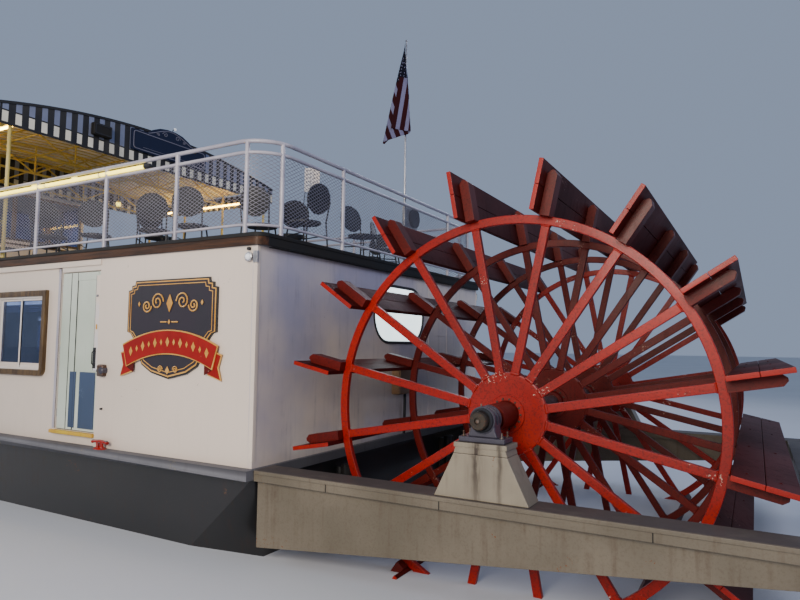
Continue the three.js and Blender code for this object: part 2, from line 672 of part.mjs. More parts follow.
function canopy() {
  const roof = [...arch(-ROOF_THICK, CANOPY_HALF, 14), ...arch(0, CANOPY_HALF, 14).reverse()];
  add('canopy_roof', crossPlate(polygon(roof), CANOPY_AFT_X, CANOPY_FRONT_X), '#e4e1d6', 0.7, 0);

  const face = [...arch(ARCH_FIT, CANOPY_HALF, 14), [-CANOPY_HALF, VALANCE_Z], [CANOPY_HALF, VALANCE_Z]];
  const ends = [CANOPY_AFT_X, CANOPY_FRONT_X - VALANCE_THICK].map(
    (x) => crossPlate(polygon(face), x, x + VALANCE_THICK));
  const sides = [CANOPY_HALF - VALANCE_THICK, -CANOPY_HALF].map(
    (y) => box(CANOPY_AFT_X, CANOPY_FRONT_X, y, y + VALANCE_THICK, VALANCE_Z, EAVE_Z - ARCH_FIT));
  add('canopy_valance', join([...ends, ...sides]), '#23252b', 0.9, 0);

  const reach = BENT_POST_Y + BENT_BAR / 2;
  const rafter = polygon([...arch(RAFTER_FIT, reach, 8), ...arch(RAFTER_FIT + BENT_BAR, reach, 8).reverse()]);
  const pieces = [];
  for (const x of BENT_XS) {
    pieces.push(crossPlate(rafter, x - BENT_BAR / 2, x + BENT_BAR / 2));
    pieces.push(bar([x, BENT_POST_Y, BENT_CHORD_Z], [x, -BENT_POST_Y, BENT_CHORD_Z], BENT_BAR));
    for (const y of [BENT_POST_Y, -BENT_POST_Y]) {
      pieces.push(box(x - BENT_BAR / 2, x + BENT_BAR / 2, y - BENT_BAR / 2, y + BENT_BAR / 2,
        UPPER_Z + FIT, EAVE_Z - BENT_BAR / 2));
      pieces.push(bar([x, y / 3, BENT_CHORD_Z], [x, y * 0.62, EAVE_Z + 130], BRACE_BAR));
      pieces.push(bar([x, y / 3, BENT_CHORD_Z], [x, 0, CROWN_Z - 60], BRACE_BAR));
    }
  }
  for (const y of [BENT_POST_Y, -BENT_POST_Y]) {
    pieces.push(bar([BENT_XS[0], y, BENT_CHORD_Z], [BENT_XS.at(-1), y, BENT_CHORD_Z], BENT_BAR));
  }
  add('canopy_frame', join(pieces), '#c9b98a', 0.5, 0.3);

  const { y: middle, low, thick, outline } = NAME_BOARD;
  const port = outline.map(([y, z]) => [middle + y, low + z]);
  const starboard = outline.map(([y, z]) => [middle - y, low + z]);
  const board = polygon([...port, ...starboard.reverse()]);
  add('canopy_name_board', crossPlate(board, CANOPY_AFT_X - thick, CANOPY_AFT_X - FIT), '#23252b', 0.5, 0);
}

function pilothouse() {
  const { x, wide, low, high } = PILOT_DOOR;
  const shell = box(PILOT_AFT_X, PILOT_FRONT_X, -PILOT_HALF, PILOT_HALF, UPPER_Z + FIT, PILOT_TOP_Z);
  const inside = box(PILOT_AFT_X + PILOT_WALL, PILOT_FRONT_X - PILOT_WALL, -PILOT_HALF + PILOT_WALL,
    PILOT_HALF - PILOT_WALL, UPPER_Z - 50, PILOT_TOP_Z + 50);
  const cutters = [inside, box(x, x + wide, PILOT_HALF - 100, PILOT_HALF + 100, low, high)];
  const { bottom, head, port, starboard, ends, endWide } = PILOT_GLASS;
  for (const [side, spans] of [[1, port], [-1, starboard]]) {
    const y = side * PILOT_HALF;
    for (const [x0, x1] of spans) cutters.push(box(x0, x1, y - 100, y + 100, bottom, head));
  }
  for (const y of ends) {
    for (const end of [PILOT_FRONT_X, PILOT_AFT_X]) {
      cutters.push(box(end - 100, end + 100, y, y + endWide, bottom, head));
    }
  }
  add('pilothouse_walls', cut(shell, cutters), WHITE, 0.5, 0.1);
  const eave = PILOT_HALF + PILOT_EAVE;
  const roof = polygon([[-eave, PILOT_TOP_Z + FIT], [eave, PILOT_TOP_Z + FIT], [eave, PILOT_TOP_Z + 50],
    [eave / 2, PILOT_TOP_Z + PILOT_CROWN], [-eave / 2, PILOT_TOP_Z + PILOT_CROWN], [-eave, PILOT_TOP_Z + 50]]);
  add('pilothouse_roof', crossPlate(roof, PILOT_AFT_X - PILOT_EAVE / 2, PILOT_FRONT_X + PILOT_EAVE),
    WHITE, 0.5, 0.1);
  const door = add('pilothouse_door', leaf(wide, low, high), '#dfe6dc', 0.5, 0.1);
  door.position.set(x + wide - DOOR_PLAY, PILOT_HALF, 0);
}

// Shield with stepped upper corners and an arched ribbon across it, both bare
function sign() {
  const { x, thick, outline, ribbon } = SIGN;
  const fore = outline.map(([u, z]) => [x + u, z]);
  const board = polygon([...fore, ...outline.map(([u, z]) => [x - u, z]).reverse()]);
  const curve = [];
  for (let k = 0; k <= ribbon.steps; k += 1) {
    const share = 1 - (2 * k) / ribbon.steps;
    curve.push([x + ribbon.half * share, ribbon.top - ribbon.drop * share ** 2]);
  }
  const foot = curve.map(([u, z]) => [u, z - ribbon.deep]).reverse();
  const middle = ribbon.top - ribbon.drop - ribbon.deep / 2;
  const band = polygon([...curve, [x - ribbon.half + ribbon.notch, middle], ...foot,
    [x + ribbon.half - ribbon.notch, middle]]);
  const front = CABIN_HALF + FIT;
  return join([sidePlate(board, front, front + thick), sidePlate(band, front, front + ribbon.thick)]);
}

function fittings() {
  const board = sign();
  add('sign_port', board, '#2a2a2e', 0.5, 0);
  add('sign_starboard', mirrorY(board), '#2a2a2e', 0.5, 0);
  for (const [side, name] of [[1, 'port'], [-1, 'starboard']]) {
    const { x, y, radius, top, crown } = STACK;
    const profile = [[0, UPPER_Z + FIT], [radius + 70, UPPER_Z + FIT], [radius + 70, UPPER_Z + 40],
      [radius, UPPER_Z + 60], [radius, top - 420], [crown, top], [crown - 30, top],
      [radius - 30, top - 400], [0, top - 400]];
    const pipe = new THREE.LatheGeometry(profile.map(([r, z]) => new THREE.Vector2(r, z)), 24);
    add(`smokestack_${name}`, pipe.rotateX(Math.PI / 2), BLACK, 0.5, 0.3).position.set(x, side * y, 0);
  }
  const { x, y, radius, top } = STAFF;
  const staff = add('flagstaff', rod('z', 0, top - UPPER_Z, radius, 10, 0, 0), '#c8c4b8', 0.5, 0.3);
  staff.position.set(x, y, UPPER_Z + FIT);
  const flag = add('flag', sidePlate(polygon(FLAG.outline), -FLAG.half, FLAG.half), '#7c2430', 0.9, 0);
  flag.rotation.z = THREE.MathUtils.degToRad(FLAG.turn);
  flag.position.set(x, y, top - FLAG.drop);
}

boat.name = 'sternwheel_paddle_boat';
hull();
mainDeck();
fantail();
paddleWheel();
rudders();
cabin();
upperDeck();
railings();
bowRail();
bowStair();
canopy();
pilothouse();
fittings();

export default boat;
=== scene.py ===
"""Looks of a sternwheel paddle boat: its detailed pieces, finishes and stage, in metres."""

import math

import bpy
from mathutils import Matrix, Vector


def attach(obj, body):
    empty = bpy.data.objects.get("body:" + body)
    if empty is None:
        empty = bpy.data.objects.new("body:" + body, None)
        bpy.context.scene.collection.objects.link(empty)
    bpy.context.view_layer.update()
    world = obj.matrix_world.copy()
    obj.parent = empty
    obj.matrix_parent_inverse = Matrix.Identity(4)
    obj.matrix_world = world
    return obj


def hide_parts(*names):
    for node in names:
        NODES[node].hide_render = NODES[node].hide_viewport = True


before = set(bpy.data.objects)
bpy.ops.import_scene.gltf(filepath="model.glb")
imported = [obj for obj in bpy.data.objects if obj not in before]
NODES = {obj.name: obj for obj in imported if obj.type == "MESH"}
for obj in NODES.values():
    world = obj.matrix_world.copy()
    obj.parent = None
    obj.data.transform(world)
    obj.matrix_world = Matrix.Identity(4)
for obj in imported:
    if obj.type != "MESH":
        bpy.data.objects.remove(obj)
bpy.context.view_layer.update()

bl_info = {
    "name": "Sternwheel Paddle Boat",
    "version": (1, 0, 0),
    "blender": (4, 5, 0),
    "location": "3D View > Sidebar > Boat",
    "description": "Builds the pieces, finishes and stage of a sternwheel paddle boat on its frame",
    "category": "Object",
}

# Main places on the boat
DECK = 1.8
UPPER = 4.162
WATERLINE = 0.9
WALL_Y = 2.862
WALL_FORE_Y = 2.842
WALL_STEP_X = -2.806
AFT_X = -5.285
FRONT_X = 5.26
CEILING = 4.037
SIDES = ((1, "port"), (-1, "starboard"))
RAIL_Y = 2.765
RAIL_AFT_X = -5.287
RAIL_SPLIT_X = -4.7
RAIL_FRONT_X = 6.12
WHEEL = Vector((-7.7, 0, 2.438))
WHEEL_PHASE = 12.2
ARMS = 16
RIM_IN, RIM_OUT = 1.717, 1.797
BOARD_BACK, BOARD_FACE = -0.0863, -0.0463
SHAFT_END = 2.905
SEAM_Z = 6.337
VALANCE_Z = 6.13
CHORD_Z = 6.19
FRAMES = (("port", 2.212, 1), ("port_inner", 0.737, 0), ("starboard_inner", -0.737, 0), ("starboard", -2.212, -1))
FASCIA_Z = (4.04, 4.158)
CAPPING_Z = (4.128, 4.17)
PILOT_X = (3.72, 5.56)
PILOT_Y = 1.18


def linear(code):
    """Linear colour from a web colour code."""
    parts = [int(code[k:k + 2], 16) / 255 for k in (1, 3, 5)]
    return tuple(c / 12.92 if c < 0.04045 else ((c + 0.055) / 1.055) ** 2.4 for c in parts)


def colour(name, code, description):
    return bpy.props.FloatVectorProperty(
        name=name, description=description, subtype="COLOR", size=3, min=0, max=1, default=linear(code))


def length(name, default, description):
    return bpy.props.FloatProperty(
        name=name, description=description, subtype="DISTANCE", unit="LENGTH", min=0, default=default)


class BoatColours(bpy.types.PropertyGroup):
    """Paints and cloths of the boat"""
    wheel: colour("Wheel", "#991204", "Gloss vermilion of the wheel's frames")
    board: colour("Boards", "#52100A", "Deep red of the paddle boards")
    cabin: colour("Cabin", "#DDCEC0", "Warm white of the walls")
    beam: colour("Beams", "#70685A", "Off-white of the stern beams")
    stand: colour("Wheel stands", "#877E6D", "Off-white of the wheel's stands")
    deck: colour("Decks", "#66666C", "Grey of the walked decks")
    hull: colour("Hull", "#1B1C1E", "Black of the hull")
    fascia: colour("Fascia", "#4A2C16", "Dark brown of the upper deck's edge")
    mesh: colour("Rail mesh", "#7C7A88", "Duller grey of the diamond mesh")
    rail: colour("Rails", "#B3AFB9", "Off-white of the rails")
    door: colour("Doors", "#C9D1C6", "Pale green of the doors")
    panel: colour("Door panels", "#34445E", "Slate blue of the doors' kick plates")
    varnish: colour("Window casings", "#66502E", "Varnished brown of the window casings")
    stripe: colour("Dark stripes", "#1B1C22", "Black stripes of the valance")
    canvas: colour("Light cloth", "#E2DDCC", "Light stripes and the roof cloth")
    tan: colour("Junction box", "#86674A", "Tan of the junction box")
    truss: colour("Canopy frame", "#C9B560", "Cream of the canopy's frame")
    board_grey: colour("Sign", "#2B2830", "Charcoal of the shield")
    gold: colour("Gold lines", "#C08A3A", "Gilt lines of the shield")
    ribbon: colour("Ribbon", "#850F08", "Red of the ribbon and fittings")
    stack: colour("Smokestacks", "#151516", "Black of the smokestacks")
    navy: colour("Name board", "#121A34", "Navy of the blank name board")
    bearing: colour("Bearings", "#3C3945", "Violet grey of the pillow blocks")


class BoatSizes(bpy.types.PropertyGroup):
    """Sizes of the boat's smaller pieces"""
    rail_radius: length("Rail tube", 0.0235, "Radius of the top rail")
    mesh_wide: length("Mesh width", 0.075, "Width of one diamond of the rail mesh")
    mesh_high: length("Mesh height", 0.042, "Height of one diamond of the rail mesh")
    strand: length("Mesh strand", 0.0058, "Width of one strand of the rail mesh")
    stripe_wide: length("Stripe", 0.095, "Width of one stripe of the valance")
    casing_wide: length("Window casing", 0.075, "Width of the window casings")
    light_radius: length("Light tube", 0.024, "Radius of the light tube under the top rail")


def colours():
    return bpy.context.scene.boat_colours


def sizes():
    return bpy.context.scene.boat_sizes


# Modelling with the ordinary tools

def only(*objects):
    """Selects nothing but these, the first one active."""
    bpy.ops.object.select_all(action="DESELECT")
    for ob in objects:
        ob.select_set(True)
    if objects:
        bpy.context.view_layer.objects.active = objects[0]


def edit(ob):
    """Opens the object in edit mode with everything selected."""
    only(ob)
    bpy.ops.object.mode_set(mode="EDIT")
    bpy.ops.mesh.select_all(action="SELECT")


def closed(ob):
    """Leaves edit mode with doubles merged and faces turned outwards."""
    bpy.ops.mesh.select_all(action="SELECT")
    bpy.ops.mesh.remove_doubles(threshold=1e-5)
    bpy.ops.mesh.normals_make_consistent(inside=False)
    bpy.ops.object.mode_set(mode="OBJECT")
    return ob


def settled(ob):
    """Puts the object's place into its mesh."""
    only(ob)
    bpy.ops.object.transform_apply(location=True, rotation=True, scale=True)
    return ob


def modified(ob, kind, **settings):
    """Adds one modifier and applies it."""
    only(ob)
    bpy.ops.object.modifier_add(type=kind)
    modifier = ob.modifiers[-1]
    for name, value in settings.items():
        setattr(modifier, name, value)
    bpy.ops.object.modifier_apply(modifier=modifier.name)
    return ob


def soft(ob, width, segments=2, angle=32):
    """Rounds the sharp edges."""
    return modified(ob, "BEVEL", width=width, segments=segments, limit_method="ANGLE",
                    angle_limit=math.radians(angle))


def block(x0, x1, y0, y1, z0, z1, round_by=0.003, segments=2):
    """A box between two corners with rounded edges."""
    only()
    bpy.ops.mesh.primitive_cube_add(size=1, location=((x0 + x1) / 2, (y0 + y1) / 2, (z0 + z1) / 2))
    ob = bpy.context.object
    ob.scale = (x1 - x0, y1 - y0, z1 - z0)
    settled(ob)
    return soft(ob, round_by, segments) if round_by else ob


def chain(points):
    """A line of edges drawn vertex by vertex."""
    only()
    bpy.ops.mesh.primitive_plane_add(size=0.01, location=points[0])
    bpy.ops.object.mode_set(mode="EDIT")
    bpy.ops.mesh.merge(type="CENTER")
    for a, b in zip(points, points[1:]):
        bpy.ops.mesh.extrude_region_move(TRANSFORM_OT_translate={"value": Vector(b) - Vector(a)})
    bpy.ops.object.mode_set(mode="OBJECT")
    return settled(bpy.context.object)


def lifted(outline, axis, level):
    """Places a flat outline across an axis at a level."""
    if axis == "X":
        return [(level, u, v) for u, v in outline]
    if axis == "Y":
        return [(u, level, v) for u, v in outline]
    return [(u, v, level) for u, v in outline]


def along(axis, distance):
    return tuple(distance if axis == name else 0 for name in "XYZ")


def plate(outline, axis, low, high, round_by=0.0, hole=None):
    """A plate with a given outline between two levels; hole leaves a rim of that width."""
    ob = chain(lifted(outline, axis, low))
    edit(ob)
    bpy.ops.mesh.edge_face_add()
    if hole:
        bpy.ops.mesh.inset(thickness=hole)
        bpy.ops.mesh.delete(type="FACE")
        bpy.ops.mesh.select_all(action="SELECT")
    bpy.ops.mesh.extrude_region_move(TRANSFORM_OT_translate={"value": along(axis, high - low)})
    closed(ob)
    return soft(ob, round_by) if round_by else ob


def pipe(points, radius, sides=2):
    """A round tube along a line of points."""
    ob = chain(points)
    only(ob)
    bpy.ops.object.convert(target="CURVE")
    ob = bpy.context.object
    ob.data.bevel_depth = radius
    ob.data.bevel_resolution = sides
    ob.data.use_fill_caps = True
    bpy.ops.object.convert(target="MESH")
    ob = bpy.context.object
    edit(ob)
    return closed(ob)


def turned(profile, at=(0, 0, 0), axis="Z", steps=32, loop=False):
    """A turned shape from pairs of radius and height along its axis."""
    points = [(r, 0, h) for r, h in profile]
    ob = chain(points + points[:1] if loop else points)
    edit(ob)
    bpy.ops.mesh.spin(steps=steps, angle=2 * math.pi, center=(0, 0, 0), axis=(0, 0, 1))
    closed(ob)
    turn = {"X": Matrix.Rotation(math.pi / 2, 4, "Y"), "Y": Matrix.Rotation(-math.pi / 2, 4, "X")}
    ob.data.transform(Matrix.Translation(at) @ turn.get(axis, Matrix.Identity(4)))
    return ob


def copied(ob, matrix=Matrix.Identity(4)):
    """A copy with its own mesh, moved by a matrix."""
    twin = ob.copy()
    twin.data = ob.data.copy()
    twin.data.transform(matrix)
    bpy.context.scene.collection.objects.link(twin)
    return twin


def mirrored(ob, axis="Y"):
    """A copy mirrored across the middle, its faces turned outwards again."""
    scale = [-1 if axis == name else 1 for name in "XYZ"]
    twin = copied(ob, Matrix.Diagonal((*scale, 1)))
    edit(twin)
    bpy.ops.mesh.flip_normals()
    bpy.ops.object.mode_set(mode="OBJECT")
    return twin


def discard(*objects):
    for ob in objects:
        bpy.data.objects.remove(ob)


def mirrored_only(ob, axis="Y"):
    """The mirrored shape in place of the first."""
    twin = mirrored(ob, axis)
    discard(ob)
    return twin


def facing(ob, way):
    """The shape, mirrored across the middle when way is negative."""
    return ob if way > 0 else mirrored_only(ob)


def joined(parts):
    """One object from several."""
    parts = list(parts)
    only(*parts)
    if len(parts) > 1:
        bpy.ops.object.join()
    return parts[0]


def row(ob, step, count):
    """Repeats a shape in steps and joins the copies."""
    return modified(ob, "ARRAY", count=count, use_relative_offset=False, use_constant_offset=True,
                    constant_offset_displace=step)


def refined(node, round_by=0.004, segments=2):
    """A copy of a CAD shape, merged, with rounded edges between whole flats, or its own faces unrounded."""
    ob = NODES[node].copy()
    ob.data = ob.data.copy()
    ob.parent = None
    for key in list(ob.keys()):
        del ob[key]
    bpy.context.scene.collection.objects.link(ob)
    ob.data.materials.clear()
    edit(ob)
    bpy.ops.mesh.remove_doubles(threshold=1e-5)
    if round_by:
        bpy.ops.mesh.dissolve_limited(angle_limit=math.radians(0.6))
    bpy.ops.object.mode_set(mode="OBJECT")
    return soft(ob, round_by, segments) if round_by else ob


def done(ob, finish):
    """Gives one part its finish."""
    ob.data.materials.clear()
    ob.data.materials.append(look(finish))
    return ob


def painted(finish, *parts):
    """Gives several parts the same finish."""
    return [done(part, finish) for part in parts]


def piece(parts, name, body="root", stands_for=(), smooth=38):
    """Joins parts into a named piece that rides on a body."""
    ob = joined(parts if isinstance(parts, (list, tuple)) else [parts])
    ob.name = name
    ob.data.name = name
    settled(ob)
    bpy.ops.object.shade_smooth_by_angle(angle=math.radians(smooth))
    if smooth < 60:
        modified(ob, "WEIGHTED_NORMAL", keep_sharp=True)
    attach(ob, body)
    if stands_for:
        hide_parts(*stands_for)
    return ob


def finished(node, finish, name, round_by=0.004, segments=2, body="root", smooth=38):
    """A CAD shape with its finish, as the piece that stands for it."""
    return piece(done(refined(node, round_by, segments), finish), name, body, (node,), smooth)


def both_sides(port, name, node=None):
    """A port piece and its mirrored twin, which stand for a pair of CAD nodes."""
    for ob, side in zip((port, mirrored(port)), ("port", "starboard")):
        piece(ob, f"{name}_{side}", stands_for=(f"{node}_{side}",) if node else ())


def placed(ob, x=0.0, y=0.0, z=0.0, turn=0.0):
    """Moves a part modelled at the origin to its place, turned about the upright."""
    ob.data.transform(Matrix.Translation((x, y, z)) @ Matrix.Rotation(math.radians(turn), 4, "Z"))
    return ob


def round_rect(u0, v0, u1, v1, radii, steps=4):
    """Outline with round corners: lower left, lower right, upper right, upper left."""
    centres = ((u0, v0, 1, 1, 180), (u1, v0, -1, 1, 270), (u1, v1, -1, -1, 0), (u0, v1, 1, -1, 90))
    points = []
    for (u, v, du, dv, start), r in zip(centres, radii):
        if r == 0:
            points.append((u, v))
            continue
        for k in range(steps + 1):
            a = math.radians(start + 90 * k / steps)
            points.append((u + du * r + r * math.cos(a), v + dv * r + r * math.sin(a)))
    return points


def arc(centre, radius, start, end, steps):
    return [(centre[0] + radius * math.cos(math.radians(start + (end - start) * k / steps)),
             centre[1] + radius * math.sin(math.radians(start + (end - start) * k / steps)))
            for k in range(steps + 1)]


def bolt(radius=0.012, high=0.008, at=(0, 0, 0), axis="Z"):
    """A low domed bolt head on a washer."""
    head = turned([(0, high), (radius * 0.55, high * 0.9), (radius * 0.9, high * 0.5), (radius, high * 0.25),
                   (radius * 1.5, high * 0.25), (radius * 1.5, 0), (0, 0)], at, axis, 10)
    return done(head, "bolt_steel")


# Node groups and materials

class Net:
    """Adds nodes to one tree: an input given a socket is linked, any other value is set."""

    def __init__(self, tree):
        self.tree = tree

    def node(self, kind, inputs=None, **settings):
        node = self.tree.nodes.new(kind if kind.startswith("NodeGroup") else "ShaderNode" + kind)
        for name, value in settings.items():
            setattr(node, name, value)
        self.feed(node, inputs or {})
        return node

    def feed(self, node, inputs):
        for name, value in inputs.items():
            if isinstance(value, bpy.types.NodeSocket):
                self.tree.links.new(value, node.inputs[name])
            else:
                node.inputs[name].default_value = value

    def scaled(self, vector, scale):
        return self.node("Mapping", {"Vector": vector, "Scale": scale}).outputs[0]

    def noise(self, vector, scale, detail=3.0, rough=0.5):
        return self.node("TexNoise", {"Vector": vector, "Scale": scale, "Detail": detail,
                                      "Roughness": rough}).outputs["Fac"]

    def band(self, value, low, high, to_low=0.0, to_high=1.0):
        return self.node("MapRange", {"Value": value, "From Min": low, "From Max": high,
                                      "To Min": to_low, "To Max": to_high}).outputs[0]

    def mix(self, factor, a, b):
        return self.node("Mix", {0: factor, 6: a, 7: b}, data_type="RGBA").outputs[2]

    def math(self, operation, a, b=0.0):
        return self.node("Math", {0: a, 1: b}, operation=operation).outputs[0]

    def plus(self, a, b):
        return self.math("ADD", a, b)

    def minus(self, a, b):
        return self.math("SUBTRACT", a, b)

    def times(self, a, b):
        return self.math("MULTIPLY", a, b)

    def parts(self, vector):
        return self.node("SeparateXYZ", {"Vector": vector}).outputs


def rgba(value):
    value = linear(value) if isinstance(value, str) else tuple(value)
    return (*value[:3], 1.0)


def new_group(name, inputs):
    """A node group with named inputs, and colour, roughness and height out."""
    tree = bpy.data.node_groups.new(name, "ShaderNodeTree")
    for label, default in inputs.items():
        if isinstance(default, float):
            kind = "NodeSocketFloat"
        else:
            kind = "NodeSocketVector" if len(default) == 3 else "NodeSocketColor"
        tree.interface.new_socket(label, in_out="INPUT", socket_type=kind).default_value = default
    for label, kind in (("Colour", "Color"), ("Roughness", "Float"), ("Height", "Float")):
        tree.interface.new_socket(label, in_out="OUTPUT", socket_type="NodeSocket" + kind)
    net = Net(tree)
    return tree, net, net.node("NodeGroupInput").outputs


def close_group(net, colour_out, rough, height):
    net.node("NodeGroupOutput", {"Colour": colour_out, "Roughness": rough, "Height": height})


def paint_group():
    """Brushed paint that fades, streaks with grime, chips to its undercoat and gathers dust; in the shaded copies of a
    paint the darker colours are painted shade.
    """
    tree, net, given = new_group("Weathered paint", {
        "Place": (0.0, 0.0, 0.0), "Paint": rgba("#808080"), "Faded": rgba("#808080"), "Grime": rgba("#302820"),
        "Undercoat": rgba("#B0A8A0"), "Roughness": 0.4, "Chips": 0.0, "Streaks": 0.2, "Mottle": 1.5,
        "Facing": (0.0, 0.0, 1.0), "Soil": rgba("#3A3338"), "Top soil": 0.0, "Pitting": 0.0})
    place = given["Place"]
    mottle = net.node("TexNoise", {"Vector": place, "Scale": given["Mottle"], "Detail": 4.0}).outputs["Fac"]
    base = net.mix(net.band(mottle, 0.38, 0.66), given["Paint"], given["Faded"])
    run = net.noise(net.scaled(place, (7, 7, 0.45)), 2.4, 4.0, 0.6)
    blot = net.noise(place, 5.5, 5.0, 0.65)
    streak = net.times(net.band(run, 0.52, 0.74), net.band(blot, 0.36, 0.62))
    streak = net.times(streak, given["Streaks"])
    base = net.mix(streak, base, given["Grime"])
    pit = net.times(net.band(net.noise(place, 58.0, 3.0, 0.7), 0.5, 0.64), given["Pitting"])
    base = net.mix(pit, base, given["Grime"])
    speck = net.noise(place, 46.0, 3.0, 0.6)
    clump = net.band(net.noise(place, 3.4, 2.0), 0.56, 0.68)
    ready = net.plus(net.times(given["Chips"], 0.2), -0.3)
    ready = net.plus(ready, net.times(clump, 0.3))
    chip = net.math("GREATER_THAN", net.plus(speck, ready), 0.69)
    base = net.mix(chip, base, given["Undercoat"])
    level = net.parts(given["Facing"])[2]
    top = net.times(net.band(level, 0.55, 0.9), net.band(blot, 0.2, 0.5, 0.65, 1.0))
    top = net.times(top, given["Top soil"])
    base = net.mix(top, base, given["Soil"])
    fine = net.noise(place, 120.0, 2.0)
    rough = net.plus(given["Roughness"], net.times(net.math("MAXIMUM", streak, top), 0.3))
    rough = net.plus(rough, net.times(chip, 0.35))
    rough = net.plus(rough, net.band(mottle, 0.3, 0.7, -0.05, 0.06))
    height = net.plus(net.times(mottle, 0.5), net.times(fine, 0.12))
    height = net.minus(height, net.times(chip, 0.35))
    height = net.minus(height, net.times(pit, 0.5))
    close_group(net, base, rough, height)
    return tree


def wood_group():
    """Grain that runs along one direction, with darker pores."""
    tree, net, given = new_group("Wood grain", {
        "Place": (0.0, 0.0, 0.0), "Light": rgba("#7A5634"), "Dark": rgba("#3A2718"), "Roughness": 0.45,
        "Pores": 0.5})
    rings = net.noise(given["Place"], 3.0, 5.0, 0.6)
    fibre = net.noise(net.scaled(given["Place"], (0.7, 2.2, 2.2)), 26.0, 3.0, 0.7)
    base = net.mix(net.band(rings, 0.36, 0.64), given["Dark"], given["Light"])
    pore = net.times(net.band(fibre, 0.54, 0.68), given["Pores"])
    base = net.mix(pore, base, given["Dark"])
    rough = net.plus(given["Roughness"], net.times(pore, 0.25))
    close_group(net, base, rough, net.minus(net.times(rings, 0.4), pore))
    return tree


def cloth_group():
    """Woven threads across each other, with a slow change of shade and a little soil."""
    tree, net, given = new_group("Woven cloth", {
        "Place": (0.0, 0.0, 0.0), "Cloth": rgba("#C0C0C0"), "Soil": rgba("#6A6458"), "Roughness": 0.8,
        "Threads": 260.0, "Soiling": 0.3})
    parts = net.parts(given["Place"])
    waves = [net.math("SINE", net.times(part, given["Threads"])) for part in parts]
    weave = net.times(net.plus(waves[0], waves[1]), waves[2])
    slow = net.noise(given["Place"], 2.2, 5.0, 0.6)
    soil = net.times(net.band(slow, 0.42, 0.72), given["Soiling"])
    base = net.mix(soil, given["Cloth"], given["Soil"])
    rough = net.plus(given["Roughness"], net.times(weave, 0.03))
    close_group(net, base, rough, net.plus(net.times(weave, 0.25), slow))
    return tree


def metal_group():
    """Worked metal with fine scratches along one way, tarnish and rust spots."""
    tree, net, given = new_group("Worked metal", {
        "Place": (0.0, 0.0, 0.0), "Metal": rgba("#8A8A8E"), "Tarnish": rgba("#4A4440"), "Rust": rgba("#6E3A1E"),
        "Roughness": 0.35, "Rusting": 0.2})
    scratch = net.noise(net.scaled(given["Place"], (1.5, 22, 22)), 12.0, 3.0, 0.7)
    cloud = net.noise(given["Place"], 7.0, 5.0, 0.6)
    base = net.mix(net.band(cloud, 0.4, 0.66), given["Metal"], given["Tarnish"])
    spots = net.times(net.band(net.noise(given["Place"], 31.0, 4.0, 0.7), 0.55, 0.66), given["Rusting"])
    base = net.mix(spots, base, given["Rust"])
    rough = net.plus(given["Roughness"], net.band(scratch, 0.3, 0.7, -0.08, 0.12))
    rough = net.plus(rough, net.times(spots, 0.4))
    close_group(net, base, rough, net.plus(net.times(scratch, 0.4), spots))
    return tree


GROUPS = {}


def group(name, build):
    if name not in GROUPS:
        GROUPS[name] = build()
    return GROUPS[name]


def material(name, tree, inputs, stretch=(1, 1, 1), bump=0.15, depth=0.004, shader_values=None):
    """A material whose colour, roughness and bump come from one node group."""
    mat = bpy.data.materials.new(name)
    mat.use_nodes = True
    mat.node_tree.nodes.clear()
    net = Net(mat.node_tree)
    place = net.node("TexCoord").outputs["Object"]
    place = net.scaled(place, stretch)
    finish = net.node("Group", node_tree=tree)
    if "Facing" in finish.inputs:
        net.feed(finish, {"Facing": net.node("TexCoord").outputs["Normal"]})
    net.feed(finish, {"Place": place, **inputs})
    normal = net.node("Bump", {"Height": finish.outputs["Height"], "Strength": bump, "Distance": depth})
    shader = net.node("BsdfPrincipled", {
        "Base Color": finish.outputs["Colour"], "Roughness": finish.outputs["Roughness"],
        "Normal": normal.outputs[0], **(shader_values or {})})
    net.node("OutputMaterial", {"Surface": shader.outputs[0]})
    return mat, net, finish, shader


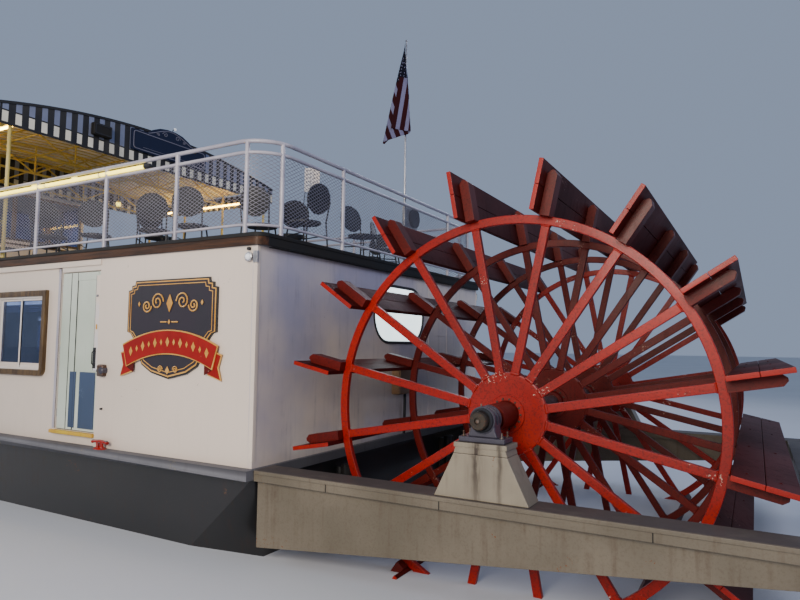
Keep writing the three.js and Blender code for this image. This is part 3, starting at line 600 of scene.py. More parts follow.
# paint, faded, grime, undercoat, roughness, chips, streaks, mottle, coat
PAINTS = {
    "wheel_red": ("wheel", "#7C0E04", "#3A0804", "#B39A8C", 0.4, 0.45, 0.3, 0.8, 0.07),
    # the inner frames' red, darkened as painted shade
    "wheel_inner": ("board", "#5E0B04", "#1C0504", "#8A6A5C", 0.46, 0.4, 0.5, 0.9, 0.03),
    "pad_red": ("board", "#5E0F09", "#210605", "#9A8478", 0.45, 0.3, 0.4, 1.8, 0.04),
    "board_red": ("board", "#3A0A08", "#1C0708", "#8A6A64", 0.5, 0.35, 0.5, 0.9, 0.0),
    "board_end": ("wheel", "#86160A", "#360A06", "#B8A8A0", 0.42, 0.5, 0.2, 2.0, 0.05),
    "cabin_white": ("cabin", "#D3C6B8", "#94816E", "#A89C8C", 0.34, 0.05, 0.07, 0.45, 0.15),
    # cabin_aft: a shaded copy of the cabin paint, whose violet grey faded colour and grime are painted shade of the aft
    # wall
    "cabin_aft": ("cabin", "#A6A2B4", "#66646F", "#9C958C", 0.4, 0.08, 0.35, 0.7, 0.05),
    "beam_white": ("beam", "#5E574A", "#46301F", "#6E4226", 0.45, 0.35, 0.5, 1.1, 0.05),
    "deck_grey": ("deck", "#57585E", "#38322C", "#7C766C", 0.62, 0.5, 0.3, 0.8, 0.0),
    "hull_black": ("hull", "#232325", "#3A2418", "#5A4030", 0.34, 0.4, 0.45, 0.7, 0.2),
    "rail_white": ("rail", "#9D99A6", "#6E5844", "#8C8078", 0.36, 0.3, 0.25, 2.2, 0.15),
    "mesh_white": ("mesh", "#6E6C7C", "#4A4038", "#5C5650", 0.5, 0.2, 0.2, 2.6, 0.05),
    "door_green": ("door", "#B4C0B0", "#7E8070", "#A8A498", 0.34, 0.15, 0.2, 0.8, 0.15),
    "door_white": ("cabin", "#CFC8BE", "#8A8474", "#A8A498", 0.36, 0.15, 0.2, 0.9, 0.1),
    "panel_blue": ("panel", "#3A4A66", "#232A38", "#7888A0", 0.4, 0.35, 0.2, 1.6, 0.1),
    "truss_cream": ("truss", "#B09A48", "#5E4A24", "#8C8060", 0.42, 0.3, 0.2, 2.0, 0.1),
    "sign_grey": ("board_grey", "#2C2630", "#1B191E", "#4A4550", 0.5, 0.15, 0.15, 3.0, 0.05),
    "sign_gold": ("gold", "#D0A052", "#5E4018", "#5A4A38", 0.3, 0.25, 0.25, 4.0, 0.25),
    "sign_edge": ("hull", "#1F1D20", "#2C2420", "#4A4440", 0.4, 0.15, 0.1, 3.0, 0.15),
    "board_navy": ("navy", "#161D38", "#0E1220", "#4A5274", 0.5, 0.2, 0.25, 2.0, 0.02),
    "ribbon_red": ("ribbon", "#9A1409", "#3A0906", "#B89078", 0.4, 0.25, 0.3, 2.4, 0.1),
    "stack_black": ("stack", "#222224", "#3A281E", "#4C3A2E", 0.42, 0.35, 0.4, 1.4, 0.1),
    "trim_dark": ("hull", "#221E1A", "#322A22", "#4A4038", 0.66, 0.2, 0.4, 1.6, 0.0),
    "bearing_grey": ("bearing", "#34323E", "#1E1818", "#6A5A52", 0.38, 0.5, 0.5, 4.0, 0.1),
    "gasket_black": ("stripe", "#1C1C20", "#302E2A", "#2C2C2E", 0.6, 0.0, 0.2, 6.0, 0.0),
    "engine_green": ("deck", "#4C5458", "#2C241C", "#8A7A68", 0.4, 0.4, 0.5, 1.8, 0.1),
    "window_white": ("cabin", "#D4D4D4", "#8A8680", "#A8A49C", 0.32, 0.1, 0.12, 1.4, 0.15),
    "tan_box": ("tan", "#6E5438", "#3E2E20", "#5C4830", 0.5, 0.3, 0.4, 3.0, 0.0),
    "threshold_yellow": ("gold", "#C8A826", "#4E3C18", "#7C6C3C", 0.45, 0.6, 0.4, 3.0, 0.0),
    "plastic_white": ("cabin", "#C9CBD2", "#6A6A70", "#A8A8AC", 0.42, 0.0, 0.25, 3.0, 0.0),
    "plastic_dark": ("stripe", "#15161B", "#0E0E12", "#2C2C2E", 0.5, 0.0, 0.2, 3.0, 0.0),
    "interior_floor": ("varnish", "#4A3A2C", "#241A12", "#6A543C", 0.5, 0.2, 0.3, 1.2, 0.05),
}
# how dark the faces that look up have weathered
TOP_SOIL = {"beam_white": 0.75, "deck_grey": 0.25, "hull_black": 0.4, "trim_dark": 0.3, "cabin_white": 0.3}
# how strongly small dark pits break up the paint
PITTED = {"wheel_red": 0.6, "wheel_inner": 0.5, "pad_red": 0.45, "board_red": 0.35, "board_end": 0.3, "beam_white": 0.2}
# paints that reflect less than fresh gloss
DULL = {"wheel_red": 0.25, "wheel_inner": 0.2, "pad_red": 0.2, "board_red": 0.12, "board_end": 0.25, "trim_dark": 0.25,
        "beam_white": 0.3, "board_navy": 0.2, "sign_grey": 0.3, "ribbon_red": 0.25, "stack_black": 0.3}
# metal, tarnish, roughness, rusting, metallic
METALS = {
    "worn_shaft": ("#7C7A80", "#4A3C36", 0.34, 0.45, 0.85),
    "cap_brown": ("#31291F", "#1D1612", 0.45, 0.6, 0.3),
    "bolt_steel": ("#6E645C", "#4A3226", 0.42, 0.6, 0.7),
    "alloy": ("#A8A8AC", "#7C7C80", 0.3, 0.05, 0.9),
    "lamp_body": ("#B8B8BC", "#8A8A8E", 0.35, 0.1, 0.6),
    "rudder_steel": ("#4C4440", "#6A3A22", 0.55, 0.8, 0.4),
}


LOOKS = {}


def look(name):
    """The finish of that name, made when it is first asked for."""
    if name not in LOOKS:
        LOOKS[name] = new_look(name)
    return LOOKS[name]


def new_look(name):
    if name in PAINTS:
        paint, faded, grime, under, rough, chips, streaks, mottle, coat = PAINTS[name]
        return material(name, group("paint", paint_group), {
            "Paint": rgba(getattr(colours(), paint)), "Faded": rgba(faded), "Grime": rgba(grime),
            "Undercoat": rgba(under), "Roughness": rough, "Chips": chips, "Streaks": streaks, "Mottle": mottle,
            "Top soil": TOP_SOIL.get(name, 0.0), "Pitting": PITTED.get(name, 0.0),
        }, bump=0.25, depth=0.003, shader_values={
            "Coat Weight": coat, "Coat Roughness": 0.12, "Specular IOR Level": DULL.get(name, 0.5)})[0]
    if name in METALS:
        metal, tarnish, rough, rusting, metallic = METALS[name]
        return material(name, group("metal", metal_group), {
            "Metal": rgba(metal), "Tarnish": rgba(tarnish), "Roughness": rough, "Rusting": rusting,
        }, bump=0.2, depth=0.002, shader_values={"Metallic": metallic})[0]
    return SPECIALS[name](name)


def wood_look(name):
    """Grained timber: the fascia's along X or Y, the casings' upright."""
    stretch = {"fascia_fore": (0.5, 7, 7), "fascia_across": (7, 0.5, 7), "casing_varnish": (7, 7, 0.8)}[name]
    paint, dark, rough, coat = colours().fascia, "#26150A", 0.58, 0.03
    if name == "casing_varnish":
        paint, dark, rough, coat = colours().varnish, "#3A2814", 0.36, 0.25
    return material(name, group("wood", wood_group), {
        "Light": rgba(paint), "Dark": rgba(dark), "Roughness": rough, "Pores": 0.6},
        stretch, 0.35, 0.004, {"Coat Weight": coat, "Coat Roughness": 0.15, "Specular IOR Level": 0.3})[0]


def stripes(net, coordinate, width, dark, light):
    """Alternating stripes of one width along a coordinate."""
    share = net.math("FRACT", net.math("DIVIDE", coordinate, 2 * width))
    return net.mix(net.band(share, 0.535, 0.545), dark, light)


def woven(name, cloth, soil, rough, soiling, threads, bump, depth, shader_values=None):
    """A material from the cloth group, which also gives glass and lamps their slow change of shade."""
    return material(name, group("cloth", cloth_group), {
        "Cloth": rgba(cloth), "Soil": rgba(soil), "Roughness": rough, "Soiling": soiling, "Threads": threads},
        bump=bump, depth=depth, shader_values=shader_values)


def cloth_look(name):
    """Canvas: plain roof, or stripes along Y or X whose light stripes turn blue grey above the seam between the two
    rows as painted shade of the upper row, with a black band along the seam as painted shadow of the frame behind the
    cloth.
    """
    mat, net, finish, shader = woven(name, colours().canvas, "#8A8470", 0.78, 0.35, 900.0, 0.3, 0.002)
    if name == "roof_binding":
        net.feed(finish, {"Cloth": rgba(colours().stripe), "Soil": rgba("#2E2C2A")})
    elif name != "roof_canvas":
        parts = net.parts(net.node("TexCoord").outputs["Object"])
        # Above the seam the light stripes turn blue grey: painted shade of the upper row.
        light = net.mix(net.band(parts["Z"], SEAM_Z - 0.005, SEAM_Z + 0.005), rgba(colours().canvas), rgba("#767E98"))
        along_cloth = parts["Y" if name == "stripes_y" else "X"]
        shade = stripes(net, along_cloth, sizes().stripe_wide, rgba(colours().stripe), light)
        # Black band along the seam: painted shadow of the frame behind the cloth.
        seam = net.band(net.math("ABSOLUTE", net.minus(parts["Z"], SEAM_Z)), 0.013, 0.01)
        net.feed(finish, {"Cloth": net.mix(seam, shade, rgba(colours().stripe)), "Soil": rgba("#4A463C")})
    return mat


# The flag's red, darkened as painted shade of the flag against the sky
SHADED_FLAG_RED = "#2A070E"


def flag_look(name):
    """Stripes and a dotted dark canton from the cloth's own coordinates, every colour darkened as painted shade: the
    red near black, the white stripes and stars grey blue.
    """
    mat, net, finish, shader = woven(name, SHADED_FLAG_RED, "#0E0C14", 0.85, 0.35, 1400.0, 0.2, 0.001,
                                     {"Specular IOR Level": 0.15})
    cut = net.node("UVMap", uv_map="cloth").outputs[0]
    parts = net.parts(cut)
    bars = stripes(net, parts["Y"], 1 / 13, rgba(SHADED_FLAG_RED), rgba("#6C6C8A"))
    canton = net.times(net.math("LESS_THAN", parts["X"], 0.4), net.math("GREATER_THAN", parts["Y"], 6 / 13))
    cells = net.node("VectorMath", {0: net.scaled(cut, (27.5, 16.7, 1))}, operation="FRACTION").outputs[0]
    middle = net.node("VectorMath", {0: cells, 1: (0.5, 0.5, 0)}, operation="DISTANCE").outputs["Value"]
    dots = net.mix(net.band(middle, 0.15, 0.1), rgba("#080B1A"), rgba("#8080A0"))
    net.feed(finish, {"Cloth": net.mix(canton, bars, dots)})
    return mat


def glass_look(name):
    """Clear pane with a slight tint and wiped smears."""
    return woven(name, "#8294BC", "#62709A", 0.03, 0.5, 1.0, 0.02, 0.001, {"Transmission Weight": 0.9, "IOR": 1.45})[0]


def pedestal_look(name):
    """Painted stand with two rust runs down its faces, measured along the boat."""
    mat, net, finish, shader = material(name, group("paint", paint_group), {
        "Paint": rgba(colours().stand), "Faded": rgba("#746C5D"), "Grime": rgba("#4C3A28"),
        "Undercoat": rgba("#6E4226"), "Roughness": 0.45, "Chips": 0.2, "Streaks": 0.35, "Mottle": 1.6,
        "Top soil": 0.6}, bump=0.25, depth=0.003)
    runs = net.node("Group", {}, node_tree=group("runs", run_group))
    net.feed(runs, {"Place": net.node("TexCoord").outputs["Object"], "First": WHEEL.x + 0.03, "Second": WHEEL.x - 0.17})
    stained = net.mix(runs.outputs["Colour"], finish.outputs["Colour"], rgba("#2E2014"))
    net.feed(shader, {"Base Color": stained})
    return mat


def run_group():
    """Two narrow stains that run down from a cap, broken up and fading towards the foot."""
    tree, net, given = new_group("Rust runs", {"Place": (0.0, 0.0, 0.0), "First": 0.0, "Second": 0.0})
    parts = net.parts(given["Place"])
    wander = net.times(net.minus(net.noise(given["Place"], 5.0, 3.0), 0.5), 0.07)
    broken = net.band(net.noise(net.scaled(given["Place"], (30, 30, 3)), 1.0, 5.0, 0.7), 0.3, 0.52)
    masks = []
    for label, wide, share in (("First", 0.055, 0.95), ("Second", 0.03, 0.75)):
        off = net.plus(net.minus(parts["X"], given[label]), wander)
        near = net.band(net.math("ABSOLUTE", off), wide, wide * 0.2)
        masks.append(net.times(net.times(near, broken), share))
    halo = net.band(net.math("ABSOLUTE", net.minus(parts["X"], given["First"])), 0.12, 0.02)
    halo = net.times(net.times(halo, broken), 0.35)
    total = net.math("MAXIMUM", net.math("MAXIMUM", masks[0], masks[1]), halo)
    total = net.times(total, net.band(parts["Z"], 1.82, 2.1, 0.55, 1.0))
    close_group(net, total, total, total)
    return tree


# strength, body, dimmer parts, roughness, soiling, threads
GLOWS = {
    "tube_glow": (3.6, "#FFE860", "#FFE048", 0.3, 0.6, 40.0),
    "lamp_warm": (40.0, "#FFCE4A", "#F0B830", 0.3, 0.6, 40.0),
    "lens_glow": (0.25, "#F4F6FA", "#C8CEDC", 0.3, 0.6, 40.0),
    "pane_lit": (2.0, "#EAF8FA", "#C8E4EE", 0.3, 0.6, 40.0),
    "blind_lit": (1.5, "#F0F2F6", "#C4CAD8", 0.7, 0.5, 60.0),
}


def glow_look(name):
    """Lit plastic, frosted glass or a blind before a light, with a slow change of brightness."""
    power, *cloth = GLOWS[name]
    mat, net, finish, shader = woven(name, *cloth, 0.1, 0.002, {"Emission Strength": power})
    net.feed(shader, {"Emission Color": finish.outputs["Colour"]})
    return mat


SPECIALS = {
    "fascia_fore": wood_look, "fascia_across": wood_look, "casing_varnish": wood_look,
    "roof_canvas": cloth_look, "stripes_x": cloth_look, "stripes_y": cloth_look, "flag_bunting": flag_look,
    "roof_binding": cloth_look, "glass": glass_look, **dict.fromkeys(GLOWS, glow_look),
    "pedestal_white": pedestal_look,
}


# The wheel

def arm_turn(k):
    """Turns a shape modelled along +X from the wheel's centre to one of its arms."""
    angle = math.radians(WHEEL_PHASE + 360 / ARMS * k)
    return Matrix.Translation(WHEEL) @ Matrix.Rotation(-angle, 4, "Y")


def spoke(y, finish):
    """One square arm with weld beads at the hub and the rim."""
    arm = done(block(0.36, 1.72, y - 0.025, y + 0.025, -0.038, 0.038, 0.006, 3), finish)
    root = done(block(0.352, 0.384, y - 0.031, y + 0.031, -0.045, 0.045, 0.012, 3), finish)
    tip = done(block(1.702, 1.722, y - 0.0295, y + 0.0295, -0.044, 0.044, 0.009, 3), finish)
    return [arm, root, tip]


def pad(y0, y1):
    """The block that carries a board past the rim, its outer corners clipped."""
    outline = [(1.785, -0.046), (2.152, -0.046), (2.19, -0.012), (2.19, 0.012), (2.152, 0.046), (1.785, 0.046)]
    return done(plate(outline, "Y", y0, y1, 0.003), "pad_red")


def hub(y, side, finish):
    """Dished disc with a rolled edge, a raised flange, and the bolted sleeve on the outer frames."""
    disc = turned([(0.08, -0.017), (0.19, -0.015), (0.32, -0.02), (0.352, -0.024), (0.366, -0.02), (0.3715, -0.01),
                   (0.3715, 0.01), (0.366, 0.02), (0.352, 0.024), (0.32, 0.02), (0.19, 0.015), (0.08, 0.017)],
                  (WHEEL.x, y, WHEEL.z), "Y", 96, True)
    parts = [done(disc, finish)]
    boss = turned([(0.076, -0.03), (0.164, -0.03), (0.17, -0.025), (0.17, 0.025), (0.164, 0.03), (0.076, 0.03)],
                  (WHEEL.x, y, WHEEL.z), "Y", 64, True)
    parts.append(done(boss, finish))
    for face in ((side,) if side else (1, -1)):
        sleeve = turned([(0.076, 0.025), (0.122, 0.025), (0.118, 0.05), (0.113, 0.062), (0.113, 0.345), (0.109, 0.36),
                         (0.076, 0.36)] if side else
                        [(0.076, 0.025), (0.122, 0.025), (0.118, 0.05), (0.113, 0.058), (0.106, 0.066), (0.076, 0.066)],
                        (0, 0, 0), "Y", 48, True)
        parts.append(done(placed(facing(sleeve, face), WHEEL.x, y, WHEEL.z), "pad_red"))
        for k in range(14):
            angle = 2 * math.pi * k / 14
            head = done(turned([(0, 0.04), (0.009, 0.038), (0.012, 0.024), (0, 0.024)], axis="Y", steps=8), "cap_brown")
            parts.append(placed(facing(head, face), WHEEL.x + 0.134 * math.cos(angle), y,
                                WHEEL.z + 0.134 * math.sin(angle)))
    return parts


def wheel_frame(name, y, side):
    rim = turned([(RIM_IN, -0.025), (RIM_OUT, -0.025), (RIM_OUT, 0.025), (RIM_IN, 0.025)], (WHEEL.x, y, WHEEL.z),
                 "Y", 128, True)
    # The inner frames take the darker red as painted shade
    finish = "wheel_red" if side else "wheel_inner"
    parts = [done(soft(rim, 0.007, 3), finish)]
    low, high = {1: (y - 0.025, y + 0.12), 0: (y - 0.06, y + 0.06), -1: (y - 0.12, y + 0.025)}[side]
    arm = spoke(y, finish) + [pad(low, high)]
    for k in range(ARMS):
        parts += [copied(part, arm_turn(k)) for part in arm]
    discard(*arm)
    parts += hub(y, side, finish)
    piece(parts, f"wheel_ring_{name}", "paddle_wheel", (f"wheel_frame_{name}",))


def paddle_board():
    """Two planks with a seam between them, bolted through to the four pads."""
    parts = []
    for low, high in ((1.8, 2.0205), (2.0245, 2.245)):
        parts.append(done(block(low, high, -2.494, 2.494, BOARD_BACK, BOARD_FACE, 0.005), "board_red"))
        for y in (-2.4935, 2.4935):
            parts.append(done(block(low, high, y - 0.0065, y + 0.0065, BOARD_BACK, BOARD_FACE, 0.003), "board_end"))
    for _, y, side in FRAMES:
        for reach in (1.9, 2.12):
            head = mirrored_only(bolt(0.01, 0.006), "Z")
            parts.append(done(placed(head, reach, y + side * 0.04, BOARD_BACK), "board_red"))
    return joined(parts)


class BOAT_OT_wheel(bpy.types.Operator):
    """Builds the wheel's four frames, its sixteen boards and the shaft"""
    bl_idname = "boat.wheel"
    bl_label = "Paddle wheel"

    def execute(self, context):
        for name, y, side in FRAMES:
            wheel_frame(name, y, side)
        board = paddle_board()
        for k in range(ARMS):
            node = f"paddle_board_{k + 1:02d}"
            piece(copied(board, arm_turn(k)), node.replace("paddle", "plank"), "paddle_wheel", (node,))
        discard(board)
        middle = turned([(0, -2.55), (0.075, -2.55), (0.075, 2.55), (0, 2.55)], WHEEL, "Y", 40)
        parts = [done(middle, "worn_shaft")]
        for side in (1, -1):
            lip, dish = SHAFT_END - 0.002, SHAFT_END - 0.012
            end = turned([(0, 2.55), (0.0745, 2.55), (0.0745, dish), (0.066, lip), (0.03, lip),
                          (0.026, dish), (0.0, dish)], axis="Y", steps=40)
            head = turned([(0, 0.01), (0.014, 0.01), (0.018, 0.004), (0.018, -0.006), (0, -0.006)],
                          (0, dish, 0), "Y", 6)
            for part, finish in ((end, "cap_brown"), (head, "bolt_steel")):
                parts.append(done(placed(facing(part, side), WHEEL.x, 0, WHEEL.z), finish))
        piece(parts, "wheel_shaft", "paddle_wheel", ("paddle_shaft",))
        return {"FINISHED"}


# Stern beams, pedestals and bearings

def bearing():
    """Pillow block on its base: ribbed housing, black seal and bolts."""
    x, z = WHEEL.x, WHEEL.z
    base = done(block(x - 0.2, x + 0.2, 2.63, 2.83, 2.257, 2.3, 0.008, 3), "bearing_grey")
    top = arc((x, z), 0.102, -8, 188, 28)
    body = plate([*top, (x - 0.108, 2.35), (x - 0.13, 2.298), (x + 0.13, 2.298), (x + 0.108, 2.35)], "Y", 2.66, 2.8)
    parts = [base, done(soft(body, 0.01, 3), "bearing_grey")]
    for low, high in ((2.645, 2.668), (2.71, 2.73), (2.778, 2.806)):
        rib = turned([(0.08, low), (0.108, low), (0.1115, low + 0.004), (0.1115, high - 0.004),
                      (0.108, high), (0.08, high)], (x, 0, z), "Y", 48, True)
        parts.append(done(rib, "bearing_grey"))
    seal = turned([(0.0765, 2.8), (0.0765, 2.838), (0.088, 2.842), (0.098, 2.832), (0.1, 2.8)],
                  (x, 0, z), "Y", 48, True)
    parts.append(done(seal, "gasket_black"))
    for bx in (x - 0.165, x + 0.165):
        for by in (2.665, 2.795):
            parts.append(bolt(0.014, 0.02, (bx, by, 2.3)))
            stud = turned([(0, 0.045), (0.007, 0.045), (0.008, 0.04), (0.008, 0), (0, 0)], (bx, by, 2.3), "Z", 12)
            parts.append(done(stud, "bolt_steel"))
    grease = turned([(0, 0.03), (0.006, 0.028), (0.009, 0), (0, 0)], (x + 0.03, 2.75, 2.537), "Z", 12)
    return joined([*parts, done(grease, "bolt_steel")])


def pedestal():
    """Trapezoid stand with a cap plate and a banded neck."""
    x = WHEEL.x
    body = plate([(x - 0.41, 1.8), (x + 0.41, 1.8), (x + 0.232, 2.165), (x - 0.232, 2.165)], "Y", 2.6, 2.86, 0.01)
    neck = plate([(x - 0.232, 2.165), (x + 0.232, 2.165), (x + 0.216, 2.215), (x - 0.216, 2.215)],
                 "Y", 2.606, 2.854, 0.003)
    cap = block(x - 0.23, x + 0.23, 2.6, 2.86, 2.214, 2.256, 0.006)
    return joined(painted("pedestal_white", body, neck, cap))


def fantail_beam():
    """Deep beam with a lip along its face, a seam, and the girder under it."""
    lip = block(-10.2, -5.34, 2.876, 2.892, 1.762, 1.798, 0.005)
    seams = [block(x - 0.004, x + 0.004, 2.8795, 2.8835, 1.692, 1.762, 0.001) for x in (-9.0, -7.35, -6.2)]
    return joined(painted("beam_white", refined("fantail_beam_port", 0.006), lip) + painted("trim_dark", *seams))


class BOAT_OT_fantail(bpy.types.Operator):
    """Builds the stern beams, the wheel's pedestals and the shaft bearings"""
    bl_idname = "boat.fantail"
    bl_label = "Fantail"

    def execute(self, context):
        for build, name, node, slot in ((fantail_beam, "stern_beam", "fantail_beam", "beam_paint"),
                                        (pedestal, "wheel_stand", "wheel_pedestal", "beam_paint"),
                                        (bearing, "pillow_block", "shaft_bearing", "bearing_iron")):
            both_sides(build(), name, node)
        finished("fantail_end_beam", "beam_white", "stern_cross_beam", 0.006)
        return {"FINISHED"}


# Hull and main deck

def guard_y(x):
    """Half breadth of the main deck's edge."""
    t = max(0.0, (x - 4.6) / 5.5)
    return 2.85 * max(0.0, 1 - t ** 2.5) ** 0.62 + 0.135


class BOAT_OT_hull(bpy.types.Operator):
    """Finishes the hull, deck and rudders and adds the guard rail and cleats"""
    bl_idname = "boat.hull"
    bl_label = "Hull and deck"

    def execute(self, context):
        finished("hull", "hull_black", "hull_shell", 0, smooth=30)
        finished("main_deck", "deck_grey", "deck_plates", 0, smooth=30)
        line = [(x, guard_y(x) - 0.022, 1.745) for x in [-5.325] + [4.6 + 0.42 * k for k in range(13)]]
        guard = pipe([*line, (9.86, 0.55, 1.745), (9.97, 0.3, 1.745)], 0.021, 3)
        both_sides(done(guard, "beam_white"), "guard_rail")
        for sign, side in SIDES:
            rudder = f"rudder_{side}"
            finished(rudder, "rudder_steel", f"rudder_blade_{side}", body=rudder)
            for x in (-3.01, 1.2, 5.7, 8.6):
                self.cleat(x, sign * (guard_y(x) - 0.06), f"cleat_{side}_{int(x * 10 + 40):03d}")
        return {"FINISHED"}

    def cleat(self, x, y, name):
        """A horned cleat that encloses the plain one."""
        foot = turned([(0, 0.018), (0.05, 0.018), (0.062, 0.012), (0.074, 0.004), (0.076, 0), (0, 0)],
                      (x, y, 1.8), "Z", 20)
        foot.data.transform(Matrix.Translation((x, y, 0)) @ Matrix.Diagonal((1.25, 0.78, 1, 1))
                            @ Matrix.Translation((-x, -y, 0)))
        horn = pipe([(x - 0.14, y, 1.873), (x - 0.1, y, 1.882), (x, y, 1.888),
                     (x + 0.1, y, 1.882), (x + 0.14, y, 1.873)], 0.018, 3)
        legs = [turned([(0, 0.08), (0.021, 0.08), (0.019, 0.04), (0.028, 0.01), (0, 0.01)], (x + d, y, 1.8), "Z", 16)
                for d in (-0.035, 0.035)]
        piece(painted("ribbon_red", foot, horn, *legs), name)


# Cabin walls, windows and doors

def window(wide, high, side_out=0.086, foot_out=0.16, head_out=0.045):
    """A window in a wall that faces +Y at y = 0: varnished casing, white sashes, glass."""
    u, v = wide / 2, high / 2
    casing = plate(round_rect(-u - side_out, -v - foot_out, u + side_out, v + head_out, (0.09, 0.09, 0, 0)),
                   "Y", -0.002, 0.05, 0, sizes().casing_wide)
    parts = [done(soft(casing, 0.006), "casing_varnish")]
    lap = sizes().casing_wide - 0.006
    outer = round_rect(-u - side_out + lap, -v - foot_out + lap, u + side_out - lap, v + head_out - lap,
                       (0.035, 0.035, 0, 0))
    frame_ring = plate(outer, "Y", -0.03, 0.022, 0, 0.03)
    parts.append(done(soft(frame_ring, 0.004), "window_white"))
    low, top = -v - foot_out + lap + 0.028, v + head_out - lap - 0.028
    left, right = -u - side_out + lap + 0.028, u + side_out - lap - 0.028
    for a, b, depth in ((left, 0.02, -0.012), (-0.02, right, -0.026)):
        sash = plate([(a, low), (b, low), (b, top), (a, top)], "Y", depth, depth + 0.018, 0, 0.03)
        parts.append(done(soft(sash, 0.003), "window_white"))
        pane = block(a + 0.02, b - 0.02, depth + 0.006, depth + 0.011, low + 0.02, top - 0.02, 0)
        parts.append(done(soft(pane, 0.001, 1), "glass"))
    parts += [done(block(-0.024, -0.018, -0.006, 0.008, low, top, 0.001), "gasket_black"),
              done(block(left, right, -0.085, -0.07, top - 0.075, top - 0.03, 0.005), "blind_lit")]
    slats = [block(left, right, -0.07, -0.058, high - 0.021, high, 0.004)
             for high in [top - 0.084 - 0.024 * k for k in range(4)]]
    return joined(parts + painted("rail_white", *slats))


def door_leaf(wide, low, high, glazed=False):
    """A door that reaches along -X from its hinge line at the origin, its outer face at y = 0."""
    def strip(a, b, z0, z1, proud, finish):
        return done(block(a, b, -0.006, proud, z0, z1, 0.0015), finish)

    foot, head, free = low + 0.004, high - 0.004, -wide
    parts = [done(block(free, 0, -0.045, -0.004, low, high, 0.004), "door_green"),
             strip(free + 0.05, -0.128, high - 0.1, head, 0.002, "door_green")]
    if glazed:
        view = plate([(free + 0.1, high - 0.95), (-0.17, high - 0.95), (-0.17, high - 0.16), (free + 0.1, high - 0.16)],
                     "Y", -0.006, 0.006, 0, 0.035)
        parts += [done(soft(view, 0.003), "window_white"),
                  strip(free + 0.12, -0.19, high - 0.93, high - 0.18, 0.001, "glass"),
                  strip(-0.13, -0.004, foot, head, 0.004, "door_green")]
    else:
        kick = 2.667
        parts += [strip(-0.172, -0.004, foot, head, 0.004, "door_green"),
                  strip(-0.3, -0.186, foot, head, 0.003, "door_green"),
                  strip(-0.183, -0.175, foot, head, 0.0045, "gasket_black"),
                  strip(-0.309, -0.303, foot, head, 0.0055, "gasket_black"),
                  strip(-0.345, -0.227, low + 0.03, kick, 0.005, "panel_blue"),
                  strip(free + 0.036, -0.423, low + 0.03, kick, 0.005, "panel_blue")]
        for u in (free + 0.046, -0.433):
            parts += [bolt(0.005, 0.003, (u, 0.003, v), "Y") for v in (low + 0.05, kick - 0.02)]
    parts += [strip(free + 0.002, free + 0.078, low + 0.735, high - 0.05, 0.007, "plastic_white"),
              strip(free + 0.078, free + 0.086, low + 0.735, high - 0.05, 0.0055, "gasket_black"),
              strip(free + 0.033, free + 0.088, low + 0.76, low + 1.01, 0.011, "gasket_black"),
              strip(free + 0.03, free + 0.055, low + 1.23, low + 1.29, 0.012, "threshold_yellow")]
    grip = [(free + 0.06, proud, low + up) for proud, up in ((0.008, 0.79), (0.04, 0.82), (0.04, 0.95), (0.008, 0.98))]
    parts.append(done(pipe(grip, 0.007, 3), "gasket_black"))
    knob = turned([(0, 0.016), (0.012, 0.014), (0.017, 0), (0, 0)], (free + 0.045, 0.006, high - 0.3), "Y", 16)
    hinges = [turned([(0, 0.05), (0.006, 0.048), (0.006, -0.048), (0, -0.05)],
                     (0, 0, low + (high - low) * share), "Z", 14)
              for share in (0.1, 0.5, 0.9)]
    return joined(parts + painted("alloy", knob, *hinges))


def door_frame(wide, low, high):
    """Casing round a doorway whose hinge side is at the origin, on a wall at y = 0."""
    parts = [done(block(0.009, 0.085, -0.002, 0.014, low - 0.03, high + 0.09, 0.003), "door_white"),
             done(block(-wide - 0.016, 0.085, -0.002, 0.014, high + 0.012, high + 0.09, 0.003), "door_white"),
             done(block(0.012, 0.022, 0.012, 0.0165, low, high + 0.06, 0.001), "gasket_black"),
             done(block(0.03, 0.07, 0.013, 0.018, low, high + 0.06, 0.001), "rail_white"),
             done(block(-wide - 0.02, 0.085, -0.01, 0.05, low - 0.055, low - 0.012, 0.006), "threshold_yellow")]
    return joined(parts)


